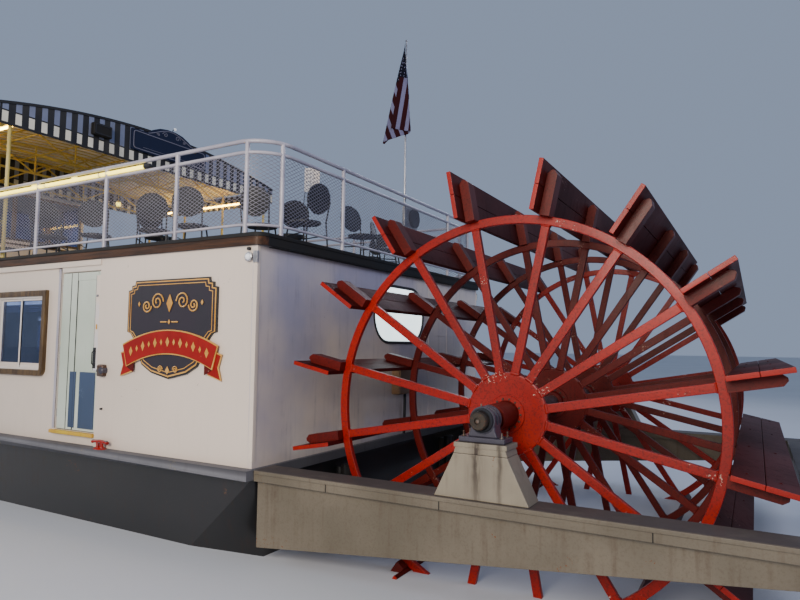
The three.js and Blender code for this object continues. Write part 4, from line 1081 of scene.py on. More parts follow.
class BOAT_OT_cabin(bpy.types.Operator):
    """Finishes the cabin walls and adds windows, trim, lamp, box and the floor inside"""
    bl_idname = "boat.cabin"
    bl_label = "Cabin"

    def execute(self, context):
        for side in ("port", "starboard", "front"):
            finished(f"cabin_{side}_wall", "cabin_white", f"wall_{side}")
        self.aft_wall()
        self.trim()
        pane = window(1.02, 0.9)
        for k in range(4):
            x = -1.14 + 1.6 * k
            for side, y, turn in (("port", WALL_FORE_Y, 0), ("starboard", -WALL_FORE_Y, 180)):
                piece(placed(copied(pane), x, y, 3.2, turn), f"window_{side}_{k + 1}")
        for side, y in (("port", 1.64), ("starboard", -1.64)):
            piece(placed(copied(pane), FRONT_X, y, 3.2, -90), f"window_front_{side}")
        discard(pane)
        floor = block(-5.2, 5.18, -2.75, 2.75, DECK + 0.002, DECK + 0.026, 0.003)
        piece(done(floor, "interior_floor"), "cabin_floor")
        self.engine()
        return {"FINISHED"}

    def aft_wall(self):
        # The aft wall and its beads wear cabin_aft: the cabin paint with painted violet grey shade
        beads = [block(AFT_X - 0.0035, AFT_X + 0.002, *across, *upright, 0.001) for across, upright in (
            ((-1.624, -1.616), (1.83, CEILING)), ((-0.984, -0.976), (1.83, CEILING)),
            ((-WALL_Y, -0.98), (3.19, 3.198)))]
        piece(painted("cabin_aft", refined("cabin_aft_wall"), *beads), "wall_aft",
              stands_for=("cabin_aft_wall",))
        outline = round_rect(-0.79, 3.056, 0.63, 3.876, 4 * (0.39,), 10)
        gasket = done(soft(plate(outline, "X", AFT_X - 0.012, AFT_X + 0.03, 0, 0.032), 0.005), "gasket_black")
        inner = round_rect(-0.762, 3.084, 0.602, 3.848, 4 * (0.362,), 10)
        pane = done(plate(inner, "X", AFT_X + 0.002, AFT_X + 0.007, 0.001), "pane_lit")
        piece([gasket, pane], "window_aft")
        lid_x = AFT_X - 0.128
        box = painted("tan_box", block(AFT_X - 0.12, AFT_X + 0.002, -0.4, 0.125, 2.365, 2.72, 0.012, 3),
                      block(lid_x, AFT_X - 0.118, -0.385, 0.11, 2.38, 2.705, 0.004))
        tail = pipe([(AFT_X - 0.06, -0.14, 2.37), (AFT_X - 0.06, -0.14, 2.2), (AFT_X - 0.05, -0.14, 1.81)], 0.02, 3)
        clips = [placed(mirrored_only(bolt(0.007, 0.004, axis="X"), "X"), lid_x, y, z) for y in (-0.37, 0.095)
                 for z in (2.4, 2.69)]
        piece([*box, done(tail, "gasket_black"), *clips], "junction_box")

    def trim(self):
        """Boards at the head and the aft corner of the side walls, and the lamp at that corner."""
        head = block(WALL_STEP_X, 5.25, WALL_FORE_Y - 0.002, WALL_FORE_Y + 0.034, 3.965, 4.036, 0.005)
        corner = block(AFT_X - 0.003, AFT_X + 0.05, WALL_Y - 0.05, WALL_Y + 0.004, 1.86, 4.03, 0.008)
        both_sides(joined(painted("cabin_white", head, corner)), "wall_trim")
        spot = (-5.185, WALL_Y, 3.92)
        body = painted("lamp_body", block(-5.3, -5.24, WALL_Y - 0.004, WALL_Y + 0.022, 3.86, 3.98, 0.006),
                       turned([(0.038, 0), (0.052, 0.0), (0.052, 0.03), (0.038, 0.036)], spot, "Y", 8, True))
        lens = turned([(0, 0.056), (0.02, 0.052), (0.034, 0.04), (0.04, 0.02), (0.04, 0), (0, 0)], spot, "Y", 8)
        eye = block(-5.2, -5.16, WALL_Y - 0.002, WALL_Y + 0.03, 3.99, 4.02, 0.006)
        both_sides(joined([*body, done(lens, "lens_glow"), done(eye, "gasket_black")]), "corner_lamp")

    def engine(self):
        iron = painted("engine_green", refined("engine", 0.02, 3), block(-4.2, -2.8, -0.3, 0.3, 2.79, 2.84, 0.02, 3))
        pipes = [pipe([(x, 0.2, 2.78), (x, 0.2, 2.95), (x, -0.2, 2.95), (x, -0.2, 2.78)], 0.035, 3)
                 for x in (-4.0, -3.6, -3.2)]
        piece(iron + painted("bolt_steel", *pipes), "engine_block", stands_for=("engine",))


class BOAT_OT_doors(bpy.types.Operator):
    """Builds the four hinged doors and their frames"""
    bl_idname = "boat.doors"
    bl_label = "Doors"

    def execute(self, context):
        wide, low, high = 0.756, 1.957, 3.893
        leaf, surround = door_leaf(wide, low, high), door_frame(wide, low, high)
        hinge_x = -2.027
        self.pair(mirrored(leaf), mirrored(surround), hinge_x, -WALL_FORE_Y, 0, "starboard_door")
        self.pair(copied(leaf), copied(surround), hinge_x, WALL_FORE_Y, 0, "port_door")
        discard(leaf, surround)
        wide = 0.846
        self.pair(mirrored_only(door_leaf(wide, low, high), "X"), mirrored_only(door_frame(wide, low, high), "X"),
                  FRONT_X, 0.423, -90, "bow_door")
        wide, low, high = 0.686, 4.237, 6.113
        self.pair(door_leaf(wide, low, high, True), door_frame(wide, low, high), 4.553, PILOT_Y, 0,
                  "pilothouse_door")
        self.holder()
        return {"FINISHED"}

    def pair(self, leaf, surround, x, y, turn, name):
        piece(placed(leaf, x, y, 0, turn), f"{name}_leaf", name, (name,))
        piece(placed(surround, x, y, 0, turn), f"{name}_frame")

    def holder(self):
        """Box that catches the opened door, on the wall aft of it."""
        box = done(block(-2.99, -2.87, WALL_Y - 0.002, WALL_Y + 0.06, 2.63, 2.77, 0.02, 4), "bolt_steel")
        disc = turned([(0, 0.07), (0.03, 0.07), (0.04, 0.06), (0.045, 0), (0, 0)], (-2.96, WALL_Y, 2.7), "Y", 24)
        hook = block(-2.875, -2.83, WALL_Y + 0.01, WALL_Y + 0.03, 2.68, 2.71, 0.004)
        catch = turned([(0, 0.03), (0.01, 0.028), (0.013, 0), (0, 0)], (-2.93, WALL_Y, 2.25), "Y", 14)
        both_sides(joined([box, done(disc, "bearing_grey"), *painted("gasket_black", hook, catch)]), "door_holder")


# Upper deck and its rails

class BOAT_OT_upper_deck(bpy.types.Operator):
    """Finishes the upper deck and its timber fascia"""
    bl_idname = "boat.upper_deck"
    bl_label = "Upper deck"

    def execute(self, context):
        finished("upper_deck", "deck_grey", "upper_deck_plates", 0, smooth=30)
        parts = [done(block(-5.23, 6.2, 2.878, 2.898, *FASCIA_Z, 0.004), "fascia_fore"),
                 done(block(-5.23, 6.2, 2.87, 2.906, *CAPPING_Z, 0.006), "trim_dark"),
                 self.corner("fascia_fore", FASCIA_Z, 0.0185), self.corner("trim_dark", CAPPING_Z, 0.026)]
        both_sides(joined(parts), "fascia")
        # The stern fascia board is black, not brown timber like the sides and front: painted shade of its unlit aft
        # face. The capping is the black top strip found on every side, and the thin dark strip under the fascia is
        # painted shadow at the top of the aft wall.
        across = painted("trim_dark", block(-5.353, -5.333, -2.774, 2.774, *FASCIA_Z, 0.004),
                         block(-5.361, -5.325, -2.774, 2.774, *CAPPING_Z, 0.006),
                         block(-5.337, -5.29, -2.7, 2.7, 4.029, CEILING, 0.002))
        piece(across, "fascia_stern")
        front = [done(block(6.198, 6.216, -2.88, 2.88, *FASCIA_Z, 0.004), "fascia_across"),
                 done(block(6.19, 6.224, -2.88, 2.88, *CAPPING_Z, 0.006), "trim_dark")]
        piece(front, "fascia_front")
        return {"FINISHED"}

    def corner(self, finish, levels, proud):
        centre = (-5.2275, 2.7725)
        outline = arc(centre, 0.1075 + proud, 90, 180, 12) + arc(centre, 0.1, 180, 90, 12)
        return done(plate(outline, "Z", *levels, 0.003), finish)


def rail_mesh(distance, low, high):
    """A flat sheet of diamond mesh along +X, from zigzag strands."""
    wide, tall, strand = sizes().mesh_wide, sizes().mesh_high, sizes().strand
    ob = chain([(0, 0, 0), (wide / 2, 0, tall / 2), (wide, 0, 0)])
    edit(ob)
    bpy.ops.mesh.extrude_region_move(TRANSFORM_OT_translate={"value": (0, 0, strand)})
    bpy.ops.object.mode_set(mode="OBJECT")
    count = int(distance / wide) + 2
    row(ob, (wide, 0, 0), count)
    twin = copied(ob, Matrix.Translation((-wide / 2, 0, tall / 2)))
    ob = joined([ob, twin])
    row(ob, (0, 0, tall), int((high - low) / tall) + 1)
    ob.data.transform(Matrix.Translation((0, 0, low - tall / 2)))
    for place, normal in (((0.001, 0, 0), (-1, 0, 0)), ((distance - 0.001, 0, 0), (1, 0, 0)),
                          ((0, 0, low), (0, 0, -1)), ((0, 0, high), (0, 0, 1))):
        edit(ob)
        bpy.ops.mesh.remove_doubles(threshold=1e-4)
        bpy.ops.mesh.select_all(action="SELECT")
        bpy.ops.mesh.bisect(plane_co=place, plane_no=normal, clear_outer=True)
        bpy.ops.object.mode_set(mode="OBJECT")
    return modified(ob, "SOLIDIFY", thickness=0.003, offset=0)


def measured(line):
    """Running length at each point of a flat line."""
    total, out = 0.0, [0.0]
    for a, b in zip(line, line[1:]):
        total += math.dist(a, b)
        out.append(total)
    return out


def wrapped(ob, line):
    """Bends a sheet that runs along +X to follow a flat line."""
    runs = measured(line)
    for v in ob.data.vertices:
        s = min(max(v.co.x, 0), runs[-1] - 1e-6)
        k = max(i for i, r in enumerate(runs[:-1]) if r <= s)
        (x0, y0), (x1, y1) = line[k], line[k + 1]
        size = runs[k + 1] - runs[k]
        t = (s - runs[k]) / size
        nx, ny = -(y1 - y0) / size, (x1 - x0) / size
        v.co = (x0 + (x1 - x0) * t + nx * v.co.y, y0 + (y1 - y0) * t + ny * v.co.y, v.co.z)
    return ob


def rail(line, posts):
    """Three tubes along a line, posts with flanges, and diamond mesh between the lower two."""
    radius = sizes().rail_radius
    parts = [pipe([(x, y, UPPER + high) for x, y in line], r, 4)
             for high, r in ((1.028, radius), (0.905, radius * 0.85), (0.125, radius * 0.68))]
    for x, y in posts:
        parts += [turned([(0, 1.02), (0.0245, 1.02), (0.0245, 0.006), (0, 0.006)], (x, y, UPPER), "Z", 20),
                  turned([(0, 0.012), (0.045, 0.012), (0.05, 0.008), (0.05, 0), (0, 0)],
                         (x, y, UPPER + 0.0005), "Z", 20)]
    mesh = rail_mesh(measured(line)[-1], UPPER + 0.128, UPPER + 0.9)
    return joined([*painted("rail_white", *parts), done(wrapped(mesh, line), "mesh_white")])


class BOAT_OT_rails(bpy.types.Operator):
    """Builds the upper deck's rails, their mesh and the light tubes"""
    bl_idname = "boat.rails"
    bl_label = "Upper deck rails"

    def execute(self, context):
        gap = 0.042
        posts = [(x, RAIL_Y) for x in (-3.95, -2.69, -1.24, -0.1, 1.15, 2.4, 3.65, 4.9)]
        port = rail([(RAIL_SPLIT_X + gap, RAIL_Y), (RAIL_FRONT_X - gap, RAIL_Y)], posts)
        both_sides(port, "rail_tubes", "upper_rail")
        bend = arc((RAIL_AFT_X + 0.4, RAIL_Y - 0.4), 0.4, 90, 180, 10)
        line = [(RAIL_SPLIT_X + gap, RAIL_Y), *bend]
        line += [(x, -y) for x, y in reversed(line)]
        stern_posts = [(-5.0, 2.749), (-5.267, 2.49), (RAIL_AFT_X, 1.374), (RAIL_AFT_X, -1.635), (-5.267, -2.49),
                       (-5.0, -2.749)]
        piece(rail(line, stern_posts), "rail_tubes_stern", stands_for=("upper_rail_stern",))
        line = [(RAIL_FRONT_X, RAIL_Y), (RAIL_FRONT_X, -1.09)]
        piece(rail(line, [(RAIL_FRONT_X, y) for y in (RAIL_Y, 1.4, 0.1, -1.09)]), "rail_tubes_front",
              stands_for=("upper_rail_front",))
        piece(self.light_tube(-3.5, RAIL_Y), "light_tube_port")
        piece(self.light_tube(0.4, -RAIL_Y), "light_tube_starboard")
        return {"FINISHED"}

    def light_tube(self, aft, y):
        """A lit tube from its end cap to the front rail, under the top rail."""
        place = (0, y, UPPER + 0.96)
        r = sizes().light_radius
        tube = turned([(0, aft + 0.1), (r * 0.8, aft + 0.105), (r, aft + 0.12), (r, 5.95), (0, 5.95)], place, "X", 16)
        cap = turned([(0, aft), (r * 0.9, aft + 0.015), (r * 1.15, aft + 0.04), (r * 1.15, aft + 0.115),
                      (0, aft + 0.115)],
                     place, "X", 16)
        clips = [turned([(r * 1.02, x - 0.012), (r * 1.12, x - 0.012), (r * 1.12, x + 0.012), (r * 1.02, x + 0.012)],
                        place, "X", 16, True) for x in (-2.55, -1.4, 0.6, 1.8, 3.0, 4.3, 5.5) if x > aft]
        return joined([done(tube, "tube_glow"), done(cap, "gasket_black"), *painted("rail_white", *clips)])


# Bow rail and stair

class BOAT_OT_bow(bpy.types.Operator):
    """Builds the bow rail and the stair to the upper deck"""
    bl_idname = "boat.bow"
    bl_label = "Bow rail and stair"

    def execute(self, context):
        side = [(x, guard_y(x) - 0.13) for x in (6.25, 7.2, 8.2, 9.05, 9.7)]
        line = side + [(x, -y) for x, y in reversed(side)]
        parts = [pipe([(x, y, DECK + high) for x, y in line], r, 4) for high, r in ((0.98, 0.0235), (0.5, 0.018))]
        parts += [turned([(0, 0.975), (0.024, 0.975), (0.024, 0.01), (0.045, 0.008), (0.045, 0), (0, 0)],
                         (x, y, DECK + 0.0005), "Z", 20) for x, y in line]
        piece(painted("rail_white", *parts), "bow_rail_tubes", stands_for=("bow_rail",))
        finished("bow_stair", "alloy", "stair_steps", 0.003)
        return {"FINISHED"}


# Canopy

CANOPY_HALF = 2.9
CANOPY_AFT_X, CANOPY_FRONT_X = -0.4, 3.45
CROWN_Z = 6.77
ARCH_RISE = 0.35
ARCH_RADIUS = (CANOPY_HALF ** 2 + ARCH_RISE ** 2) / (2 * ARCH_RISE)
BENT_XS = (-0.33, 0.9, 2.13, 3.36)
POST_Y = 2.7


def arch_z(y, depth=0.0):
    """Height of the canopy's underside."""
    return CROWN_Z - ARCH_RADIUS + math.sqrt(ARCH_RADIUS ** 2 - y * y) - depth


def grid_sheet(columns, rows):
    """A flat grid one metre square, its corners at 0 and 1 across X and Y, with a cloth map."""
    only()
    bpy.ops.mesh.primitive_grid_add(x_subdivisions=columns, y_subdivisions=rows, size=1, location=(0.5, 0.5, 0))
    ob = settled(bpy.context.object)
    ob.data.uv_layers[0].name = "cloth"
    return ob


def shaped(ob, place):
    """Moves each point of a unit grid to its place on the real surface."""
    for v in ob.data.vertices:
        v.co = place(v.co.x, v.co.y)
    return ob


def hung_cloth(columns, rows, place, finish):
    """A thin cloth over a place function, with its finish."""
    return done(modified(shaped(grid_sheet(columns, rows), place), "SOLIDIFY", thickness=0.003, offset=0), finish)


class BOAT_OT_canopy(bpy.types.Operator):
    """Builds the canopy's cloths, its tube frame and the name board"""
    bl_idname = "boat.canopy"
    bl_label = "Canopy"

    def execute(self, context):
        self.roof()
        self.gables()
        self.tubes()
        self.name_board()
        return {"FINISHED"}

    def roof(self):
        def place(u, v):
            x, y = CANOPY_AFT_X + (CANOPY_FRONT_X - CANOPY_AFT_X) * u, CANOPY_HALF * (2 * v - 1)
            sag = max((math.sin(math.pi * (x - a) / (b - a)) ** 2 for a, b in zip(BENT_XS, BENT_XS[1:]) if a < x < b),
                      default=0)
            return (x, y, arch_z(y) + 0.026 - 0.014 * sag + 0.003 * math.sin(9 * y + 4 * x))

        ob = piece(hung_cloth(64, 48, place, "roof_canvas"), "canopy_cloth",
                   stands_for=("canopy_roof",), smooth=60)
        line = [CANOPY_HALF * (1 - k / 12) for k in range(25)]
        tapes = []
        for x, way in ((CANOPY_AFT_X, 1), (CANOPY_FRONT_X, -1)):
            outline = [(y, arch_z(y) + 0.03) for y in line] + [(y, arch_z(y) - 0.012) for y in reversed(line)]
            low, high = sorted((x - way * 0.002, x + way * 0.006))
            tapes.append(done(plate(outline, "X", low, high, 0.0015), "roof_binding"))
        piece(tapes, "roof_edge_binding")

    def gables(self):
        for x, name, way in ((CANOPY_AFT_X, "aft", 1), (CANOPY_FRONT_X, "fore", -1)):
            def place(u, v):
                y = CANOPY_HALF * (2 * u - 1)
                wave = 0.007 * math.sin(16.7 * y) * (1 - v) ** 2 + 0.004 * math.sin(4.3 * y + 1) * (1 - v)
                return (x + way * (0.014 + wave), y, VALANCE_Z + (arch_z(y, 0.006) - VALANCE_Z) * v)
            ob = piece(hung_cloth(96, 10, place, "stripes_y"), f"gable_{name}",
                       stands_for=("canopy_valance",), smooth=60)
            mid = x + way * 0.008
            self.tape(f"gable_binding_{name}", mid - 0.006, mid + 0.006, -CANOPY_HALF, CANOPY_HALF)
        for sign, name in SIDES:
            def place(u, v):
                x = CANOPY_AFT_X + 0.002 + 3.846 * u
                wave = 0.006 * math.sin(16.7 * x) * (1 - v)
                return (x, sign * (CANOPY_HALF - 0.01 - wave), VALANCE_Z + 0.285 * v)
            ob = piece(hung_cloth(70, 6, place, "stripes_x"), f"valance_{name}", smooth=60)
            mid = sign * (CANOPY_HALF - 0.008)
            self.tape(f"valance_binding_{name}", CANOPY_AFT_X, CANOPY_FRONT_X, mid - 0.006, mid + 0.006)

    def tape(self, name, *footprint):
        """Binding tape along the foot of a hanging cloth."""
        piece(done(block(*footprint, VALANCE_Z, VALANCE_Z + 0.034, 0.003), "roof_binding"), name)

    def tubes(self):
        parts = []
        for x in BENT_XS:
            parts += [pipe([(x, y, arch_z(y, 0.03)) for y in [POST_Y * (1 - k / 9) for k in range(19)]], 0.024, 3),
                      pipe([(x, POST_Y, CHORD_Z), (x, -POST_Y, CHORD_Z)], 0.022, 3)]
            for y in (POST_Y, -POST_Y):
                parts.append(turned([(0, 6.4), (0.026, 6.4), (0.026, UPPER + 0.012), (0.055, UPPER + 0.01),
                                     (0.055, UPPER + 0.001), (0, UPPER + 0.001)], (x, y, 0), "Z", 18))
                foot, knee = (y / 3, CHORD_Z), (y * 0.62, arch_z(y * 0.62, 0.04))
                for a, b in ((foot, knee), (foot, (0, 6.73)), (knee, (y * 0.93, CHORD_Z)),
                             (foot, (y / 3, arch_z(y / 3, 0.04)))):
                    parts.append(pipe([(x, *a), (x, *b)], 0.016, 3))
        for y in (POST_Y, -POST_Y):
            parts.append(pipe([(BENT_XS[0], y, CHORD_Z), (BENT_XS[-1], y, CHORD_Z)], 0.022, 3))
        for y in (2.25, 1.4, 0.5, -0.5, -1.4, -2.25):
            parts.append(pipe([(-0.38, y, arch_z(y, 0.03)), (3.43, y, arch_z(y, 0.03))], 0.014, 3))
        for k in range(20):
            x = BENT_XS[0] + 0.19 * k
            parts.append(pipe([(x, y, arch_z(y, 0.014)) for y in [2.8 * (1 - j / 7) for j in range(15)]], 0.009, 1))
        piece(painted("truss_cream", *parts), "canopy_tubes", stands_for=("canopy_frame",))
        for sign, side in SIDES:
            tube = turned([(0, -0.3), (0.015, -0.296), (0.018, -0.28), (0.018, 3.3), (0, 3.32)],
                          (0, sign * 2.66, CHORD_Z - 0.032), "X", 12)
            piece(done(tube, "lamp_warm"), f"canopy_light_{side}")
        for k, (x, y) in enumerate(((0.9, 0.9), (2.13, 0.9), (0.9, -0.9), (2.13, -0.9))):
            head = (x, y, CHORD_Z - 0.02)
            stem = turned([(0, 0.0), (0.006, 0.0), (0.006, -0.12), (0.03, -0.125), (0.045, -0.16), (0, -0.16)],
                          head, "Z", 16)
            globe = turned([(0, -0.16), (0.04, -0.162), (0.05, -0.2), (0.036, -0.24), (0, -0.252)], head, "Z", 20)
            piece([done(stem, "truss_cream"), done(globe, "tube_glow")], f"hanging_lamp_{k + 1}")

    def name_board(self):
        middle, face = -0.08, -0.433
        board = done(refined("canopy_name_board"), "board_navy")
        edge = round_rect(middle - 0.8, 6.378, middle + 0.8, 6.69, 4 * (0.05,))
        rise = [0.5 * (1 - k / 12) for k in range(25)]
        crest = [(-0.432, middle + y, 6.715 + 0.16 * math.cos(y / 0.5 * math.pi / 2) ** 1.3) for y in rise]
        lines = [plate(edge, "X", -0.437, -0.428, 0, 0.012), pipe(crest, 0.007, 2)]
        for sign in (1, -1):
            for centre, high, size in ((0.14, 6.79, 0.06), (0.29, 6.75, 0.035)):
                curl = [(face, middle + sign * (centre + size * (1 - k / 16) * math.cos(k * 0.6)),
                         high + 0.8 * size * (1 - k / 16) * math.sin(k * 0.6)) for k in range(15)]
                lines.append(pipe(curl, 0.005, 2))
            lines.append(pipe([(face, middle + sign * 0.12, 6.43), (face, middle + sign * 0.6, 6.43)], 0.004, 2))
        piece([board, *painted("mesh_white", *lines)], "blank_name_board",
              stands_for=("canopy_name_board",))
        lamp = [done(pipe([(-0.42, -0.1, 6.88), (-0.425, -0.11, 6.93), (-0.43, -0.14, 6.95)], 0.007, 2),
                     "gasket_black"),
                done(turned([(0, 0.022), (0.02, 0.016), (0.027, -0.008), (0.016, -0.028), (0, -0.032)],
                            (-0.43, -0.155, 6.958), "Z", 16), "lens_glow")]
        piece(lamp, "crest_lamp")
        horn = [done(block(-0.5, -0.405, 1.17, 1.5, 6.37, 6.57, 0.018, 3), "trim_dark"),
                done(plate(round_rect(1.19, 6.39, 1.48, 6.55, 4 * (0.02,)), "X", -0.507, -0.498, 0, 0.014),
                     "gasket_black")]
        piece(horn, "canopy_speaker")


# Pilothouse

class BOAT_OT_pilothouse(bpy.types.Operator):
    """Finishes the pilothouse and adds its windows, trim and helm"""
    bl_idname = "boat.pilothouse"
    bl_label = "Pilothouse"

    def execute(self, context):
        finished("pilothouse_walls", "cabin_white", "pilothouse_shell")
        finished("pilothouse_roof", "cabin_white", "pilothouse_top", 0.012, 3)
        self.windows()
        self.trim()
        self.helm()
        return {"FINISHED"}

    def windows(self):
        low, high = 5.15, 6.08
        unit = {}
        for wide in (0.8, 0.82, 0.72, 0.68):
            u, v = wide / 2, (high - low) / 2
            ring = plate([(-u - 0.035, -v - 0.035), (u + 0.035, -v - 0.035),
                          (u + 0.035, v + 0.035), (-u - 0.035, v + 0.035)], "Y", -0.02, 0.014, 0, 0.05)
            glass = block(-u + 0.01, u - 0.01, -0.022, -0.017, -v + 0.01, v - 0.01, 0.001, 1)
            unit[wide] = joined([done(soft(ring, 0.004), "casing_varnish"), done(glass, "glass")])
        aft, fore = PILOT_X
        spots = [("port", 5.06, PILOT_Y, 0, 0.8), ("starboard_fore", 5.05, -PILOT_Y, 180, 0.82),
                 ("starboard_aft", 4.19, -PILOT_Y, 180, 0.72)]
        for k, y in enumerate((-0.74, 0.0, 0.74)):
            spots += [(f"fore_{k + 1}", fore, y, -90, 0.68), (f"aft_{k + 1}", aft, y, 90, 0.68)]
        for name, x, y, turn, wide in spots:
            piece(placed(copied(unit[wide]), x, y, (low + high) / 2, turn), f"pilot_window_{name}")
        discard(*unit.values())

    def trim(self):
        """Mouldings round the walls, which stop at the door, and the roof's edge."""
        parts = []
        aft, fore = PILOT_X
        for z, proud, high, finish in ((4.2, 0.016, 0.09, "trim_dark"), (5.04, 0.02, 0.035, "casing_varnish"),
                                       (6.385, 0.03, 0.035, "casing_varnish")):
            side = PILOT_Y + proud
            runs = [(aft - proud, aft, -side, side), (fore, fore + proud, -side, side), (aft, fore, -side, -PILOT_Y)]
            over_door = z > 6.2
            beside_door = [(aft, 3.84, PILOT_Y, side), (4.65, fore, PILOT_Y, side)]
            runs += 2 * [(aft, fore, PILOT_Y, side)] if over_door else beside_door
            parts += painted(finish, *[block(*run, z - high / 2, z + high / 2, 0.003) for run in runs])
        for y in (-1.4, 1.4):
            parts.append(done(block(3.6, 5.78, y - 0.008, y + 0.008, 6.415, 6.475, 0.004), "fascia_fore"))
        for x in (3.61, 5.78):
            parts.append(done(block(x - 0.008, x + 0.008, -1.4, 1.4, 6.415, 6.475, 0.004), "fascia_across"))
        piece(parts, "pilothouse_trim")
        light = [done(turned([(0, 0.2), (0.05, 0.2), (0.07, 0.17), (0.07, 0.06), (0.04, 0.03), (0.04, 0), (0, 0)],
                             (5.2, 0, 6.545), "Z", 24), "lamp_body"),
                 done(turned([(0.0, 0.004), (0.06, 0.004), (0.066, 0), (0, 0)], (5.27, 0, 6.665), "X", 24),
                      "lens_glow")]
        piece(light, "search_lamp")

    def helm(self):
        centre = Vector((5.1, 0, 5.2))
        ring = turned([(0.36, -0.015), (0.4, -0.015), (0.4, 0.015), (0.36, 0.015)], centre, "X", 40, True)
        parts = [soft(ring, 0.006),
                 turned([(0, 0.04), (0.06, 0.04), (0.075, 0.02), (0.075, -0.04), (0, -0.04)], centre, "X", 24)]
        for k in range(8):
            peg = turned([(0, 0.05), (0.013, 0.05), (0.016, 0.2), (0.012, 0.42), (0.018, 0.46),
                          (0.014, 0.53), (0, 0.54)], steps=10)
            peg.data.transform(Matrix.Translation(centre) @ Matrix.Rotation(math.radians(45 * k), 4, "X"))
            parts.append(peg)
        parts += [block(5.14, 5.3, -0.12, 0.12, 4.17, 5.22, 0.015, 3),
                  block(5.16, 5.48, -0.95, 0.95, 4.17, 5.0, 0.02, 3)]
        piece(painted("casing_varnish", *parts), "helm")
        floor = done(block(3.78, 5.5, -1.12, 1.12, UPPER + 0.002, UPPER + 0.018, 0.003), "interior_floor")
        piece(floor, "pilothouse_floor")


# Sign, smokestacks, flag and fittings

def shield(scale_in):
    """Outline of the shield, drawn in from its edge by a distance."""
    half = [(0, 2.64), (0.28, 2.7), (0.44, 2.785), (0.6, 3.08), (0.655, 3.14), (0.71, 3.155), (0.71, 3.63),
            (0.655, 3.64), (0.655, 3.685), (0.6, 3.692), (0.59, 3.74)]
    middle = 3.25
    shrink_u, shrink_v = 1 - scale_in / 0.71, 1 - scale_in / 0.55
    half = [(u * shrink_u, middle + (z - middle) * shrink_v) for u, z in half]
    return half + [(-u, z) for u, z in reversed(half[1:])]


class BOAT_OT_sign(bpy.types.Operator):
    """Builds the bare shield and ribbon on each side"""
    bl_idname = "boat.sign"
    bl_label = "Sign"

    def execute(self, context):
        x, y = -4.06, WALL_Y + 0.0005

        def moved(outline):
            return [(x + u, z) for u, z in outline]

        parts = [done(plate(moved(shield(0)), "Y", y, y + 0.022, 0.004), "sign_edge"),
                 done(plate(moved(shield(0.018)), "Y", y + 0.02, y + 0.026, 0.002), "sign_gold"),
                 done(plate(moved(shield(0.034)), "Y", y + 0.024, y + 0.0285, 0.001), "sign_grey"),
                 done(plate(moved(shield(0.06)), "Y", y + 0.026, y + 0.031, 0, 0.009), "sign_gold")]
        parts += self.band(x, y) + self.ornament(x, y + 0.031)
        both_sides(joined(parts), "shield", "sign")
        return {"FINISHED"}

    def ornament(self, x, y):
        """Plain gilt scrolls about a lozenge, with short rules under them."""
        def lozenge(u, z, wide, high):
            return plate([(x + u, z - high), (x + u + wide, z), (x + u, z + high), (x + u - wide, z)],
                         "Y", y, y + 0.006, 0.001)

        parts = [lozenge(0, 3.47, 0.05, 0.1), lozenge(0, 3.265, 0.02, 0.028), lozenge(0, 2.735, 0.03, 0.045)]
        for sign in (1, -1):
            parts += [block(x + sign * 0.09 - 0.05, x + sign * 0.09 + 0.05, y, y + 0.006, 3.258, 3.272, 0.002),
                      lozenge(sign * 0.5, 3.47, 0.018, 0.03)]
            for centre, high, size, way in ((0.2, 3.49, 0.1, 1), (0.37, 3.445, 0.075, -1), (0.12, 2.745, 0.04, 1)):
                curl = []
                for k in range(26):
                    reach, angle = size * (1 - k / 30), k * 0.42
                    curl.append((x + sign * (centre - reach * math.cos(angle)), y + 0.002,
                                 high + way * reach * math.sin(angle)))
                parts.append(pipe(curl, 0.0085 if size > 0.05 else 0.006, 2))
        return painted("sign_gold", *parts)

    def band(self, x, y):
        """Arched ribbon with a gold edge and folded tails."""
        def curve(half, top, drop, steps=16):
            return [(x + half * (1 - 2 * k / steps), top - drop * (1 - 2 * k / steps) ** 2) for k in range(steps + 1)]

        parts = []
        for grow, low, high, finish in ((0.0, 0.03, 0.041, "sign_gold"), (-0.014, 0.036, 0.045, "ribbon_red")):
            top = curve(0.755 + grow, 3.18 + grow, 0.165)
            foot = curve(0.68 + grow, 2.908 - grow, 0.15)[::-1]
            parts.append(done(plate(top + foot, "Y", y + low, y + high, 0.002), finish))
        for sign in (1, -1):
            for grow, low, high, finish in ((0.0, 0.012, 0.026, "sign_gold"), (-0.014, 0.016, 0.031, "ribbon_red")):
                tail = [(0.6, 2.98 + grow), (0.8 + grow, 2.92 + grow), (0.755 + grow, 2.78), (0.8 + grow, 2.645 - grow),
                        (0.6, 2.7 - grow)]
                tail = [(x + sign * u, v) for u, v in tail]
                parts.append(done(plate(tail, "Y", y + low, y + high, 0.002), finish))
            fold = [(x + sign * u, v) for u, v in ((0.56, 2.7), (0.68, 2.758), (0.72, 2.95), (0.56, 2.9))]
            parts.append(done(plate(fold, "Y", y + 0.026, y + 0.036, 0.002), "pad_red"))
        for k in range(-6, 7):
            u, z = x + 0.1 * k, 3.045 - 0.16 * (0.1 * k / 0.72) ** 2
            size = 0.036 if k % 2 else 0.055
            gem = plate([(u, z - size), (u + 0.55 * size, z), (u, z + size), (u - 0.55 * size, z)],
                        "Y", y + 0.044, y + 0.047, 0.001)
            parts.append(done(gem, "sign_gold"))
        return parts


